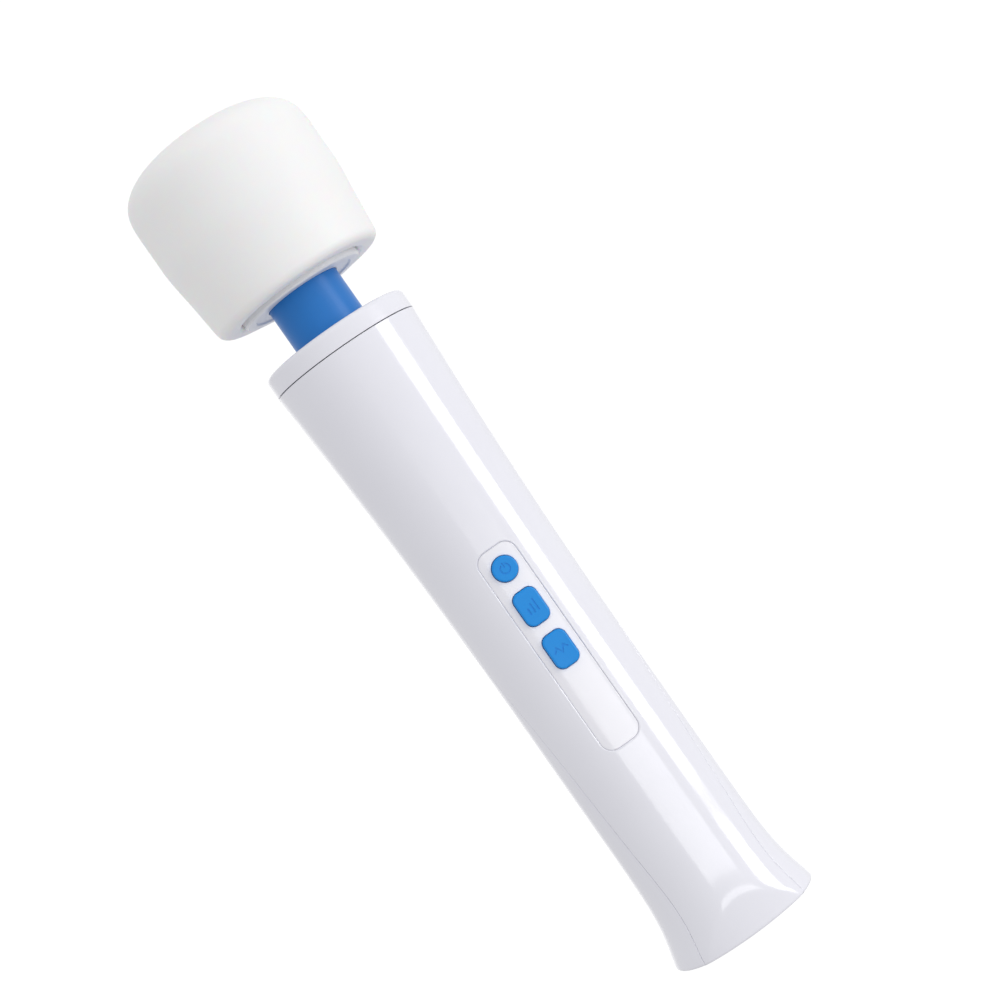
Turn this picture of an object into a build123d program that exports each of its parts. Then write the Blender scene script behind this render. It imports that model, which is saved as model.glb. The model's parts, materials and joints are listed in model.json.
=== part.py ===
from build123d import *
import os
from math import exp

# Cordless handheld wand massager. A motor in the handle turns an off-centre weight inside a soft head,
# through a coil spring that runs up a flexible neck. Millimetres. The wand stands on its foot, with +Z
# from the foot to the head, and the buttons face -Y.

# ---------------------------------------------------------------- driving dimensions
# Handle: oval sections, waisted, with a flared foot and a wider shoulder under the collar.
WAIST_HALF_WIDTH = 21.55
WAIST_HALF_DEPTH = 20.2
FLARE_WIDTH = 4.0  # the foot's extra half width at the bottom
FLARE_DEPTH = 3.8
CAVITY_FLARE_DEPTH = 1.6
FLARE_WIDTH_HEIGHT = 11.5  # how far up the flare reaches
FLARE_DEPTH_HEIGHT = 17.0
SHOULDER_START = 95.0
SHOULDER_WIDTH = 3.85  # extra half width under the collar
SHOULDER_DEPTH = 5.2
SHELL_TOP = 215.2
WALL = 2.2
FLOOR = 3.0
SEAM_GAP = 0.16
# Side view of the seam between the two shells, as (y, height).
SEAM_POINTS = ((-16.4, -1.0), (-14.8, 15.4), (-12.6, 35.0), (-8.6, 80.0), (-3.6, 109.0), (0.0, 135.0))
SEAM_START = (0.1, 1.0)  # its direction at the foot
FOOT_EDGE_ROUND = 0.8

# Arched flat on the front of the foot: part of a leaning cylinder.
FACET_RADIUS = 38.0
FACET_FRONT = 21.8  # its distance from the axis at the bottom
FACET_LEAN = 0.018  # outward travel for each millimetre of height
FACET_EDGE_ROUND = 1.2

# Control panel and buttons.
PANEL_WIDTH = 13.3
PANEL_LOW, PANEL_HIGH = 69.0, 140.4
PANEL_CORNER = 4.0
PANEL_CLEARANCE = 0.1
PANEL_INSET = 0.3
PANEL_THICKNESS = 2.1
POWER_HEIGHT, PATTERN_HEIGHT, SPEED_HEIGHT = 133.0, 119.1, 103.6
POWER_RADIUS = 4.0
KEY_WIDTH, KEY_HEIGHT, KEY_CORNER = 8.05, 11.45, 2.6
BUTTON_CLEARANCE = 0.15
BUTTON_PROUD = 0.75
BUTTON_EDGE_ROUND = 0.55
FLANGE_FRONT, FLANGE_BACK = 16.7, 16.0  # the retaining flange, measured forward from the axis
FLANGE_MARGIN = 0.9
ICON_DEPTH = 0.18

# Collar, neck and the ring that clamps the neck's lower flange.
COLLAR_LOW, COLLAR_TOP = 215.5, 222.2
COLLAR_RADIUS = 25.45
COLLAR_ROUND = 1.5
SPIGOT_RADIUS, SPIGOT_INNER, SPIGOT_LOW = 22.3, 20.3, 209.0
GROOVE_RADIUS, GROOVE_LOW, GROOVE_HIGH = 21.3, 211.1, 213.1
NECK_RADIUS, NECK_BORE = 12.5, 9.6
NECK_HOLE = 12.75
NECK_FLANGE = 16.5
FLANGE_THICKNESS = 2.7
RECESS_RADIUS = 16.8
LOWER_RECESS, LOWER_RECESS_TOP = 216.2, 219.2
CLAMP_LOW, CLAMP_INNER, CLAMP_OUTER = 213.2, 10.2, 20.1
CLAMP_SCREW_CIRCLE = 18.2

# Motor.
MOTOR_LOW, MOTOR_TOP, MOTOR_RADIUS = 152.0, 200.0, 16.0
SHAFT_RADIUS = 2.5
BRACKET_TOP, BRACKET_RADIUS = 203.0, 20.8
MOTOR_SCREW_SPACING = 20.0

# Ribs inside the shells: two that hold the motor bracket's rim, and one in the collar's groove.
RIBS = ((198.3, 19.9), (203.2, 19.9), (GROOVE_LOW + 0.3, SPIGOT_RADIUS - 0.7))  # height, inner radius
RIB_OUTER, RIB_HEIGHT = 23.4, 1.4

# Drive line through the neck.
HUB_FLANGE, HUB_SPIGOT = 8.5, 6.7
COIL_RADIUS, WIRE_RADIUS, COIL_TURNS = 7.8, 1.0, 10
DRIVE_HUB_LOW, DRIVE_HUB_SEAT, DRIVE_HUB_TOP = 205.0, 209.0, 217.0
DRIVEN_HUB_LOW, DRIVEN_HUB_SEAT, DRIVEN_HUB_TOP = 239.0, 248.0, 252.0
SHAFT_SLIP = 0.02  # radial slip between a shaft and what it carries

# Head.
PLATE_LOW, PLATE_STEP, PLATE_TOP = 238.5, 239.0, 249.0
PLATE_RIM_INNER, PLATE_RIM_OUTER = 17.8, 20.6
PLATE_FLANGE_LOW = 246.0
PLATE_BOSS_RADIUS = 21.2
CORE_RADIUS = 25.3
CORE_WALL = 2.3
CARRIER_TOP = 252.0
CORE_TOP = 290.4
CORE_ROUND = 8.0
HEAD_SCREW_CIRCLE = 23.1
SPINDLE_RADIUS = 3.0
BEARING_OUTER, BEARING_WIDTH = 9.5, 6.0
LOWER_BEARING, UPPER_BEARING = 253.0, 277.0
SEAT_RADIUS, SEAT_OUTER = 9.53, 12.5
BALL_PITCH, BALL_RADIUS, BALL_COUNT = 6.25, 1.75, 7
WEIGHT_LOW, WEIGHT_HIGH, WEIGHT_RADIUS = 260.6, 275.4, 15.2
COVER_LOW, COVER_TOP, COVER_LIP = 239.8, 297.3, 21.5
COVER_RADIUS = 32.2
COVER_STRAIGHT_LOW, COVER_STRAIGHT_HIGH = 268.0, 280.0

# Electronics and battery.
BOARD_FRONT, BOARD_BACK = 12.4, 11.2  # the control board's faces, measured forward from the axis
BOARD_LOW, BOARD_HIGH, BOARD_WIDTH = 60.5, 147.8, 18.0
BOARD_POSTS = (64.0, 144.8)
BOARD_POST_RADIUS, BOARD_POST_REACH = 2.3, 6.6
SMALL_PILOT_RADIUS, SMALL_SCREW_RADIUS, SMALL_SCREW_HEAD, SMALL_HEAD_HEIGHT = 0.9, 0.88, 1.7, 1.3
CELL_RADIUS, CELL_LOW, CELL_HIGH, CELL_BACK = 9.1, 24.5, 89.5, 4.0
JACK_BACK, JACK_RADIUS, JACK_BORE = 8.0, 5.0, 2.8
JACK_LOW, JACK_HIGH = 1.2, 11.0
CHARGE_BOARD_THICKNESS = 1.4
CHARGE_POST_SPACING, CHARGE_POST_RADIUS = 24.0, 2.2

# Screws that hold the two shells together, driven from the back.
SIDE_SCREW_X = 14.5
SIDE_SCREWS = ((97.0, 11.7), (144.0, 12.2))  # height, and how far the post reaches each way
SIDE_POST_RADIUS = 3.3
SIDE_SEAT = 3.5  # where the screw head rests, measured back from the axis
FOOT_SCREW_HEIGHT, FOOT_POST_RADIUS, FOOT_POST_REACH = 17.0, 4.0, 20.4
FOOT_SEAT = -3.0
SCREW_RADIUS, SCREW_HEAD, SCREW_HEAD_HEIGHT = 1.18, 2.05, 1.7
CROSS_SPAN, CROSS_WIDTH, CROSS_DEPTH = 2.4, 0.5, 0.9  # cross recess in a screw's head
PILOT_RADIUS = 1.2
HEAD_POCKET = 2.3
SCREW_LENGTH, FOOT_SCREW_LENGTH = 12.0, 14.5


# ---------------------------------------------------------------- shared shapes
def shoulder(height):
    """Share of the shoulder's widening at this height: 0 at the waist, 1 under the collar."""
    return max(0.0, (height - SHOULDER_START) / (SHELL_TOP - SHOULDER_START)) ** 2


def half_width(height):
    """Half the handle's width, left to right."""
    flare = FLARE_WIDTH * exp(-((height / FLARE_WIDTH_HEIGHT) ** 1.4))
    return WAIST_HALF_WIDTH + flare + SHOULDER_WIDTH * shoulder(height)


def half_depth(height, flare=FLARE_DEPTH):
    """Half the handle's depth, front to back."""
    foot = flare * exp(-((height / FLARE_DEPTH_HEIGHT) ** 1.5))
    return WAIST_HALF_DEPTH + foot + SHOULDER_DEPTH * shoulder(height)


def oval_sections(inset, flare, lowest):
    """The handle's oval sections from the lowest height to the shell's top, drawn in by the inset."""
    ovals = []
    for height in (lowest, 6, 10, 14, 19, 25, 35, 55, 80, 105, 130, 155, 180, 200, SHELL_TOP):
        with BuildSketch(Plane.XY.offset(height)) as oval:
            Ellipse(half_width(height) - inset, half_depth(height, flare) - inset)
        ovals.append(oval.sketch)
    return ovals


def seam_region(shift, far):
    """Side view of everything from the seam to the far side. The seam runs up the middle of the handle's
    sides and swings forward below the buttons, to the corner of the arched flat."""
    with BuildSketch(Plane.YZ) as region:
        with BuildLine():
            sweep_line = Spline(
                *[(shift + y, height) for y, height in SEAM_POINTS],
                tangents=(SEAM_START, (0, 1)),
            )
            middle = Line(sweep_line @ 1, (shift, SHELL_TOP + 1))
            Polyline(middle @ 1, (far, SHELL_TOP + 1), (far, -1), sweep_line @ 0)
        make_face()
    return region.sketch


def rounded_window(width, low, high, corner, clearance):
    """A rounded rectangle seen from the front, grown by the clearance."""
    with BuildSketch(Plane.XZ) as window:
        with Locations((0, (low + high) / 2)):
            RectangleRounded(width + 2 * clearance, high - low + 2 * clearance, corner + clearance)
    return window.sketch


def disc_window(height, radius):
    """A disc seen from the front, at this height."""
    with BuildSketch(Plane.XZ) as window:
        with Locations((0, height)):
            Circle(radius)
    return window.sketch


def key_window(height, clearance):
    """The outline of one of the two square-ish keys, grown by the clearance."""
    low, high = height - KEY_HEIGHT / 2, height + KEY_HEIGHT / 2
    return rounded_window(KEY_WIDTH, low, high, KEY_CORNER, clearance)


# Seen from the front, each side screw is here; the foot screw is on the middle line.
SIDE_SCREW_PLACES = [(side * SIDE_SCREW_X, height) for height, _ in SIDE_SCREWS for side in (-1, 1)]
FOOT_SCREW_PLACE = (0, FOOT_SCREW_HEIGHT)


def behind(distance):
    """A plane facing front, this far behind the axis."""
    return Plane.XZ.offset(-distance)


# ---------------------------------------------------------------- handle shells
with BuildPart() as handle_shell:
    loft(oval_sections(0, FLARE_DEPTH, 0))
    # The arched flat: what lies in front of the leaning cylinder is cut away.
    with BuildSketch(Plane.XY.offset(-1)):
        with Locations((0, -50)):
            Rectangle(100, 100)
        with Locations((0, FACET_RADIUS - FACET_FRONT + FACET_LEAN)):
            Circle(FACET_RADIUS, mode=Mode.SUBTRACT)
    extrude(amount=26, dir=(0, -FACET_LEAN, 1), mode=Mode.SUBTRACT)
    arch = handle_shell.edges().filter_by(lambda edge: 5 < edge.bounding_box().max.Z < 20)
    fillet(arch, FACET_EDGE_ROUND)
    foot_edge = handle_shell.edges().filter_by(lambda edge: edge.bounding_box().max.Z < 0.01)
    fillet(foot_edge, FOOT_EDGE_ROUND)
    # Hollow inside, with a floor.
    loft(oval_sections(WALL, CAVITY_FLARE_DEPTH, FLOOR), mode=Mode.SUBTRACT)
    # Ribs: two that hold the motor bracket's rim, and one that locks into the collar's groove.
    for low, inner in RIBS:
        with BuildSketch(Plane.XY.offset(low)):
            Circle(RIB_OUTER)
            Circle(inner, mode=Mode.SUBTRACT)
        extrude(amount=RIB_HEIGHT)
    # Screw posts from front to back, then their holes.
    for height, reach in SIDE_SCREWS:
        with BuildSketch(behind(reach)):
            with Locations((-SIDE_SCREW_X, height), (SIDE_SCREW_X, height)):
                Circle(SIDE_POST_RADIUS)
        extrude(amount=2 * reach)
    with BuildSketch(behind(FOOT_POST_REACH)):
        with Locations(FOOT_SCREW_PLACE):
            Circle(FOOT_POST_RADIUS)
    extrude(amount=2 * FOOT_POST_REACH)
    with BuildSketch(behind(SIDE_SEAT)):
        with Locations(*SIDE_SCREW_PLACES):
            Circle(PILOT_RADIUS)
    extrude(amount=SCREW_LENGTH + 1, mode=Mode.SUBTRACT)
    with BuildSketch(behind(SIDE_SEAT)):
        with Locations(*SIDE_SCREW_PLACES):
            Circle(HEAD_POCKET)
    extrude(amount=-30, mode=Mode.SUBTRACT)
    with BuildSketch(behind(FOOT_SEAT)):
        with Locations(FOOT_SCREW_PLACE):
            Circle(PILOT_RADIUS)
    extrude(amount=FOOT_SCREW_LENGTH + 1, mode=Mode.SUBTRACT)
    with BuildSketch(behind(FOOT_SEAT)):
        with Locations(FOOT_SCREW_PLACE):
            Circle(HEAD_POCKET)
    extrude(amount=-40, mode=Mode.SUBTRACT)

with BuildPart() as front_shell:
    add(handle_shell.part)
    extrude(seam_region(-SEAM_GAP / 2, -40), amount=40, both=True, mode=Mode.INTERSECT)
    # Window for the control panel.
    window = rounded_window(PANEL_WIDTH, PANEL_LOW, PANEL_HIGH, PANEL_CORNER, PANEL_CLEARANCE)
    extrude(window, amount=40, mode=Mode.SUBTRACT)
    # Two posts that carry the control board.
    with BuildSketch(Plane.XZ.offset(BOARD_FRONT)):
        with Locations(*[(0, height) for height in BOARD_POSTS]):
            Circle(BOARD_POST_RADIUS)
            Circle(SMALL_PILOT_RADIUS, mode=Mode.SUBTRACT)
    extrude(amount=BOARD_POST_REACH)
front_shell.part.label = "front_shell"

with BuildPart() as rear_shell:
    add(handle_shell.part)
    extrude(seam_region(SEAM_GAP / 2, 40), amount=40, both=True, mode=Mode.INTERSECT)
    # Mouth for the charging jack in the floor, and two posts for the charging board.
    with BuildSketch(Plane.XY):
        with Locations((0, JACK_BACK)):
            Circle(JACK_RADIUS + 0.15)
    extrude(amount=FLOOR, mode=Mode.SUBTRACT)
    with BuildSketch(Plane.XY.offset(FLOOR)):
        with GridLocations(CHARGE_POST_SPACING, 1, 2, 1):
            Circle(CHARGE_POST_RADIUS)
            Circle(SMALL_PILOT_RADIUS, mode=Mode.SUBTRACT)
    extrude(amount=JACK_HIGH - FLOOR)
rear_shell.part.label = "rear_shell"

with BuildPart() as shell_screws:
    with BuildSketch(behind(SIDE_SEAT)):
        with Locations(*SIDE_SCREW_PLACES):
            Circle(SCREW_RADIUS)
    extrude(amount=SCREW_LENGTH)
    with BuildSketch(behind(SIDE_SEAT)):
        with Locations(*SIDE_SCREW_PLACES):
            Circle(SCREW_HEAD)
    extrude(amount=-SCREW_HEAD_HEIGHT)
    with BuildSketch(behind(FOOT_SEAT)):
        with Locations(FOOT_SCREW_PLACE):
            Circle(SCREW_RADIUS)
    extrude(amount=FOOT_SCREW_LENGTH)
    with BuildSketch(behind(FOOT_SEAT)):
        with Locations(FOOT_SCREW_PLACE):
            Circle(SCREW_HEAD)
    extrude(amount=-SCREW_HEAD_HEIGHT)
    # Cross recesses.
    for seat, spots in ((SIDE_SEAT, SIDE_SCREW_PLACES), (FOOT_SEAT, (FOOT_SCREW_PLACE,))):
        with BuildSketch(behind(seat + SCREW_HEAD_HEIGHT)):
            with Locations(*spots):
                Rectangle(CROSS_SPAN, CROSS_WIDTH)
                Rectangle(CROSS_WIDTH, CROSS_SPAN)
        extrude(amount=CROSS_DEPTH, mode=Mode.SUBTRACT)
shell_screws.part.label = "shell_screws"

# ---------------------------------------------------------------- control panel and buttons
with BuildPart() as control_panel:
    loft(oval_sections(PANEL_INSET, FLARE_DEPTH, 0))
    loft(oval_sections(PANEL_INSET + PANEL_THICKNESS, FLARE_DEPTH, 0), mode=Mode.SUBTRACT)
    outline = rounded_window(PANEL_WIDTH, PANEL_LOW, PANEL_HIGH, PANEL_CORNER, 0)
    extrude(outline, amount=40, mode=Mode.INTERSECT)
    extrude(disc_window(POWER_HEIGHT, POWER_RADIUS + BUTTON_CLEARANCE), amount=40, mode=Mode.SUBTRACT)
    for height in (PATTERN_HEIGHT, SPEED_HEIGHT):
        extrude(key_window(height, BUTTON_CLEARANCE), amount=40, mode=Mode.SUBTRACT)
control_panel.part.label = "control_panel"


def button_front(height):
    """How far forward of the axis a button's face stands."""
    return half_depth(height) + BUTTON_PROUD


def front_edges(part):
    """The edges round a button's outer face."""
    return part.faces().sort_by(Axis.Y)[0].edges()


with BuildPart() as power_button:
    face = button_front(POWER_HEIGHT)
    with BuildSketch(Plane.XZ.offset(FLANGE_BACK)):
        with Locations((0, POWER_HEIGHT)):
            Circle(POWER_RADIUS)
    extrude(amount=face - FLANGE_BACK)
    fillet(front_edges(power_button), BUTTON_EDGE_ROUND)
    with BuildSketch(Plane.XZ.offset(FLANGE_BACK)):
        with Locations((0, POWER_HEIGHT)):
            Circle(POWER_RADIUS + FLANGE_MARGIN)
    extrude(amount=FLANGE_FRONT - FLANGE_BACK)
    # A ring that is open at the top, with a bar in the opening.
    with BuildSketch(Plane.XZ.offset(face - ICON_DEPTH)):
        with Locations((0, POWER_HEIGHT)):
            Circle(1.75)
            Circle(1.3, mode=Mode.SUBTRACT)
        with Locations((0, POWER_HEIGHT + 1.5)):
            Rectangle(1.3, 1.3, mode=Mode.SUBTRACT)
        with Locations((0, POWER_HEIGHT + 1.2)):
            SlotOverall(1.7, 0.45, rotation=90)
    extrude(amount=1, mode=Mode.SUBTRACT)
power_button.part.label = "power_button"

with BuildPart() as pattern_button:
    face = button_front(PATTERN_HEIGHT)
    extrude(key_window(PATTERN_HEIGHT, 0), amount=face)
    fillet(front_edges(pattern_button), BUTTON_EDGE_ROUND)
    extrude(key_window(PATTERN_HEIGHT, FLANGE_MARGIN), amount=FLANGE_FRONT)
    with BuildSketch(Plane.XZ):
        with Locations((0, PATTERN_HEIGHT)):
            Rectangle(20, 20)
    extrude(amount=FLANGE_BACK, mode=Mode.SUBTRACT)
    # Three upright bars, shorter towards the left.
    with BuildSketch(Plane.XZ.offset(face - ICON_DEPTH)):
        for place, length in ((-1.4, 2.2), (0, 3.2), (1.4, 4.2)):
            with Locations((place, PATTERN_HEIGHT + (length - 4.2) / 2)):
                SlotOverall(length, 0.5, rotation=90)
    extrude(amount=1, mode=Mode.SUBTRACT)
pattern_button.part.label = "pattern_button"

with BuildPart() as speed_button:
    face = button_front(SPEED_HEIGHT)
    extrude(key_window(SPEED_HEIGHT, 0), amount=face)
    fillet(front_edges(speed_button), BUTTON_EDGE_ROUND)
    extrude(key_window(SPEED_HEIGHT, FLANGE_MARGIN), amount=FLANGE_FRONT)
    with BuildSketch(Plane.XZ):
        with Locations((0, SPEED_HEIGHT)):
            Rectangle(20, 20)
    extrude(amount=FLANGE_BACK, mode=Mode.SUBTRACT)
    # A zigzag wave.
    with BuildSketch(Plane.XZ.offset(face - ICON_DEPTH)):
        with BuildLine():
            Polyline(
                (-2.4, SPEED_HEIGHT - 0.4),
                (-1.2, SPEED_HEIGHT + 1.0),
                (0, SPEED_HEIGHT - 1.0),
                (1.2, SPEED_HEIGHT + 1.0),
                (2.4, SPEED_HEIGHT - 0.4),
            )
        trace(line_width=0.45)
    extrude(amount=1, mode=Mode.SUBTRACT)
speed_button.part.label = "speed_button"

# ---------------------------------------------------------------- control board
with BuildPart() as control_board:
    with BuildSketch(Plane.XZ.offset(BOARD_BACK)):
        with Locations((0, (BOARD_LOW + BOARD_HIGH) / 2)):
            RectangleRounded(BOARD_WIDTH, BOARD_HIGH - BOARD_LOW, 1.5)
        with Locations(*[(0, height) for height in BOARD_POSTS]):
            Circle(1.0, mode=Mode.SUBTRACT)
    extrude(amount=BOARD_FRONT - BOARD_BACK)
control_board.part.label = "control_board"

with BuildPart() as board_screws:
    places = [(0, height) for height in BOARD_POSTS]
    with BuildSketch(Plane.XZ.offset(BOARD_BACK)):
        with Locations(*places):
            Circle(SMALL_SCREW_RADIUS)
    extrude(amount=5.8)
    with BuildSketch(Plane.XZ.offset(BOARD_BACK)):
        with Locations(*places):
            Circle(SMALL_SCREW_HEAD)
    extrude(amount=-SMALL_HEAD_HEIGHT)
board_screws.part.label = "board_screws"

with BuildPart() as tact_switches:
    for height in (POWER_HEIGHT, PATTERN_HEIGHT, SPEED_HEIGHT):
        with BuildSketch(Plane.XZ.offset(BOARD_FRONT)):
            with Locations((0, height)):
                RectangleRounded(6, 6, 0.4)
        extrude(amount=2.0)
        with BuildSketch(Plane.XZ.offset(BOARD_FRONT)):
            with Locations((0, height)):
                Circle(1.6)
        extrude(amount=2.9)
tact_switches.part.label = "tact_switches"

with BuildPart() as board_components:
    # Processor, motor driver, coil, two capacitors and the plug for the battery and motor leads.
    for height, across, width, length, depth in (
        (126, 0, 7, 7, 1.2),
        (112, 2.5, 5, 6, 1.5),
        (100, -2.5, 6, 6, 3.0),
        (99, 4.5, 3.2, 5, 2.6),
        (84, 4.0, 3.2, 5, 2.6),
        (74, -1.5, 9, 6, 4.0),
    ):
        with BuildSketch(Plane.XZ.offset(BOARD_BACK)):
            with Locations((across, height)):
                RectangleRounded(width, length, 0.3)
        extrude(amount=-depth)
board_components.part.label = "board_components"

# ---------------------------------------------------------------- battery
with BuildPart() as battery_cell:
    with Locations((0, CELL_BACK, (CELL_LOW + CELL_HIGH) / 2)):
        Cylinder(CELL_RADIUS, CELL_HIGH - CELL_LOW)
    fillet(battery_cell.edges(), 0.6)
    with Locations((0, CELL_BACK, CELL_HIGH + 0.35)):
        Cylinder(3.0, 0.9)
battery_cell.part.label = "battery_cell"

with BuildPart() as lower_battery_holder:
    with BuildSketch(Plane.XY.offset(CELL_LOW - 2.5)):
        Ellipse(19.0, 17.6)
    extrude(amount=5.5)
    with BuildSketch(Plane.XY.offset(CELL_LOW - 0.4)):
        with Locations((0, CELL_BACK)):
            Circle(CELL_RADIUS + 0.15)
    extrude(amount=10, mode=Mode.SUBTRACT)
lower_battery_holder.part.label = "lower_battery_holder"

with BuildPart() as upper_battery_holder:
    with BuildSketch(Plane.XY.offset(CELL_HIGH - 3)):
        Ellipse(19.0, 17.6)
        # Room for the control board and what stands on it.
        with Locations((0, -18)):
            Rectangle(30, 22, mode=Mode.SUBTRACT)
    extrude(amount=6)
    with BuildSketch(Plane.XY.offset(CELL_HIGH - 3)):
        with Locations((0, CELL_BACK)):
            Circle(CELL_RADIUS + 0.15)
    extrude(amount=4.4, mode=Mode.SUBTRACT)
upper_battery_holder.part.label = "upper_battery_holder"

with BuildPart() as battery_tabs:
    for low in (CELL_LOW - 0.3, CELL_HIGH + 0.9):
        with BuildSketch(Plane.XY.offset(low)):
            with Locations((0, CELL_BACK)):
                RectangleRounded(6, 16, 0.5)
        extrude(amount=0.2)
battery_tabs.part.label = "battery_tabs"

# ---------------------------------------------------------------- charging jack and board
with BuildPart() as charge_jack:
    with BuildSketch(Plane.XY.offset(JACK_LOW)):
        with Locations((0, JACK_BACK)):
            Circle(JACK_RADIUS)
    extrude(amount=JACK_HIGH - JACK_LOW)
    with BuildSketch(Plane.XY.offset(JACK_LOW)):
        with Locations((0, JACK_BACK)):
            Circle(JACK_BORE)
    extrude(amount=8.5, mode=Mode.SUBTRACT)
charge_jack.part.label = "charge_jack"

with BuildPart() as jack_pin:
    with BuildSketch(Plane.XY.offset(JACK_LOW + 1.2)):
        with Locations((0, JACK_BACK)):
            Circle(1.0)
    extrude(amount=7.3)
    fillet(jack_pin.edges().sort_by(Axis.Z)[0], 0.5)
jack_pin.part.label = "jack_pin"

with BuildPart() as charge_board:
    with BuildSketch(Plane.XY.offset(JACK_HIGH)):
        with Locations((0, 2)):
            RectangleRounded(30, 22, 3)
        with GridLocations(CHARGE_POST_SPACING, 1, 2, 1):
            Circle(1.0, mode=Mode.SUBTRACT)
    extrude(amount=CHARGE_BOARD_THICKNESS)
charge_board.part.label = "charge_board"

with BuildPart() as charge_board_screws:
    with BuildSketch(Plane.XY.offset(JACK_HIGH - 5)):
        with GridLocations(CHARGE_POST_SPACING, 1, 2, 1):
            Circle(SMALL_SCREW_RADIUS)
    extrude(amount=5 + CHARGE_BOARD_THICKNESS)
    with BuildSketch(Plane.XY.offset(JACK_HIGH + CHARGE_BOARD_THICKNESS)):
        with GridLocations(CHARGE_POST_SPACING, 1, 2, 1):
            Circle(SMALL_SCREW_HEAD)
    extrude(amount=SMALL_HEAD_HEIGHT)
charge_board_screws.part.label = "charge_board_screws"

# ---------------------------------------------------------------- motor
with BuildPart() as motor_can:
    with BuildSketch(Plane.XY.offset(MOTOR_LOW)):
        Circle(MOTOR_RADIUS)
    extrude(amount=MOTOR_TOP - MOTOR_LOW)
    fillet(motor_can.edges().group_by(Axis.Z)[-1], 1.0)
    with BuildSketch(Plane.XY.offset(MOTOR_TOP - 0.01)):
        Circle(6.5)
    extrude(amount=2.01)
    with BuildSketch(Plane.XY.offset(MOTOR_LOW)):
        Circle(MOTOR_RADIUS - 1.5)
    extrude(amount=MOTOR_TOP - MOTOR_LOW - 3, mode=Mode.SUBTRACT)
    with BuildSketch(Plane.XY.offset(MOTOR_TOP - 5)):
        Circle(4.5)
        with GridLocations(MOTOR_SCREW_SPACING, 1, 2, 1):
            Circle(1.25)
    extrude(amount=10, mode=Mode.SUBTRACT)
motor_can.part.label = "motor_can"

with BuildPart() as motor_end_cap:
    with BuildSketch(Plane.XY.offset(MOTOR_LOW - 3.5)):
        Circle(MOTOR_RADIUS - 0.3)
    extrude(amount=3.5)
    with BuildSketch(Plane.XY.offset(MOTOR_LOW)):
        Circle(MOTOR_RADIUS - 1.55)
        Circle(MOTOR_RADIUS - 3.2, mode=Mode.SUBTRACT)
    extrude(amount=3)
    with BuildSketch(Plane.XY.offset(MOTOR_LOW - 3.5)):
        Circle(4.5)
        with GridLocations(20, 1, 2, 1):
            Rectangle(0.9, 3.3)
    extrude(amount=3.5, mode=Mode.SUBTRACT)
motor_end_cap.part.label = "motor_end_cap"

with BuildPart() as motor_terminals:
    with BuildSketch(Plane.XY.offset(MOTOR_LOW - 7.5)):
        with GridLocations(20, 1, 2, 1):
            Rectangle(0.8, 3.2)
    extrude(amount=7.4)
motor_terminals.part.label = "motor_terminals"

with BuildPart() as motor_brushes:
    with BuildSketch(Plane.XY.offset(MOTOR_LOW + 0.3)):
        with GridLocations(12.4, 1, 2, 1):
            Rectangle(3.2, 3.0)
    extrude(amount=3.6)
motor_brushes.part.label = "motor_brushes"

with BuildPart() as motor_bushes:
    for low, length in ((MOTOR_LOW - 3.4, 3.2), (MOTOR_TOP - 2.9, 4.7)):
        with BuildSketch(Plane.XY.offset(low)):
            Circle(4.48)
            Circle(SHAFT_RADIUS + 0.04, mode=Mode.SUBTRACT)
        extrude(amount=length)
motor_bushes.part.label = "motor_bushes"

with BuildPart() as motor_magnets:
    with BuildSketch(Plane.XY.offset(MOTOR_LOW + 8)):
        Circle(MOTOR_RADIUS - 1.6)
        Circle(11.8, mode=Mode.SUBTRACT)
        Rectangle(12, 40, mode=Mode.SUBTRACT)
    extrude(amount=30)
motor_magnets.part.label = "motor_magnets"

with BuildPart() as motor_shaft:
    with BuildSketch(Plane.XY.offset(MOTOR_LOW - 4)):
        Circle(SHAFT_RADIUS)
    extrude(amount=DRIVE_HUB_TOP - 2 - MOTOR_LOW + 4)
    chamfer(motor_shaft.edges(), 0.3)
motor_shaft.part.label = "motor_shaft"

with BuildPart() as armature_core:
    with BuildSketch(Plane.XY.offset(MOTOR_LOW + 10)):
        Circle(11.2)
        Circle(SHAFT_RADIUS + SHAFT_SLIP, mode=Mode.SUBTRACT)
        # Five winding slots with narrow mouths.
        with PolarLocations(7.4, 5):
            SlotOverall(4.6, 3.0, mode=Mode.SUBTRACT)
        with PolarLocations(10.6, 5):
            Rectangle(3.0, 1.0, mode=Mode.SUBTRACT)
    extrude(amount=26)
armature_core.part.label = "armature_core"

with BuildPart() as armature_windings:
    for low in (MOTOR_LOW + 6, MOTOR_LOW + 36):
        with BuildSketch(Plane.XY.offset(low)):
            Circle(10.2)
            Circle(4.0, mode=Mode.SUBTRACT)
        extrude(amount=4)
    round_edges = armature_windings.edges().filter_by(GeomType.CIRCLE)
    fillet(round_edges.filter_by(lambda edge: edge.radius > 9), 1.5)
armature_windings.part.label = "armature_windings"

with BuildPart() as commutator:
    with BuildSketch(Plane.XY.offset(MOTOR_LOW + 0.2)):
        Circle(4.55)
        Circle(SHAFT_RADIUS + SHAFT_SLIP, mode=Mode.SUBTRACT)
        with PolarLocations(4.4, 5, start_angle=36):
            Rectangle(0.8, 0.4, mode=Mode.SUBTRACT)
    extrude(amount=5)
commutator.part.label = "commutator"

with BuildPart() as motor_bracket:
    with BuildSketch(Plane.XY.offset(MOTOR_TOP)):
        Circle(BRACKET_RADIUS)
        Circle(6.6, mode=Mode.SUBTRACT)
        with GridLocations(MOTOR_SCREW_SPACING, 1, 2, 1):
            Circle(1.25, mode=Mode.SUBTRACT)
        with GridLocations(1, 27, 1, 2):
            SlotOverall(14, 5, mode=Mode.SUBTRACT)
    extrude(amount=BRACKET_TOP - MOTOR_TOP)
motor_bracket.part.label = "motor_bracket"

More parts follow.
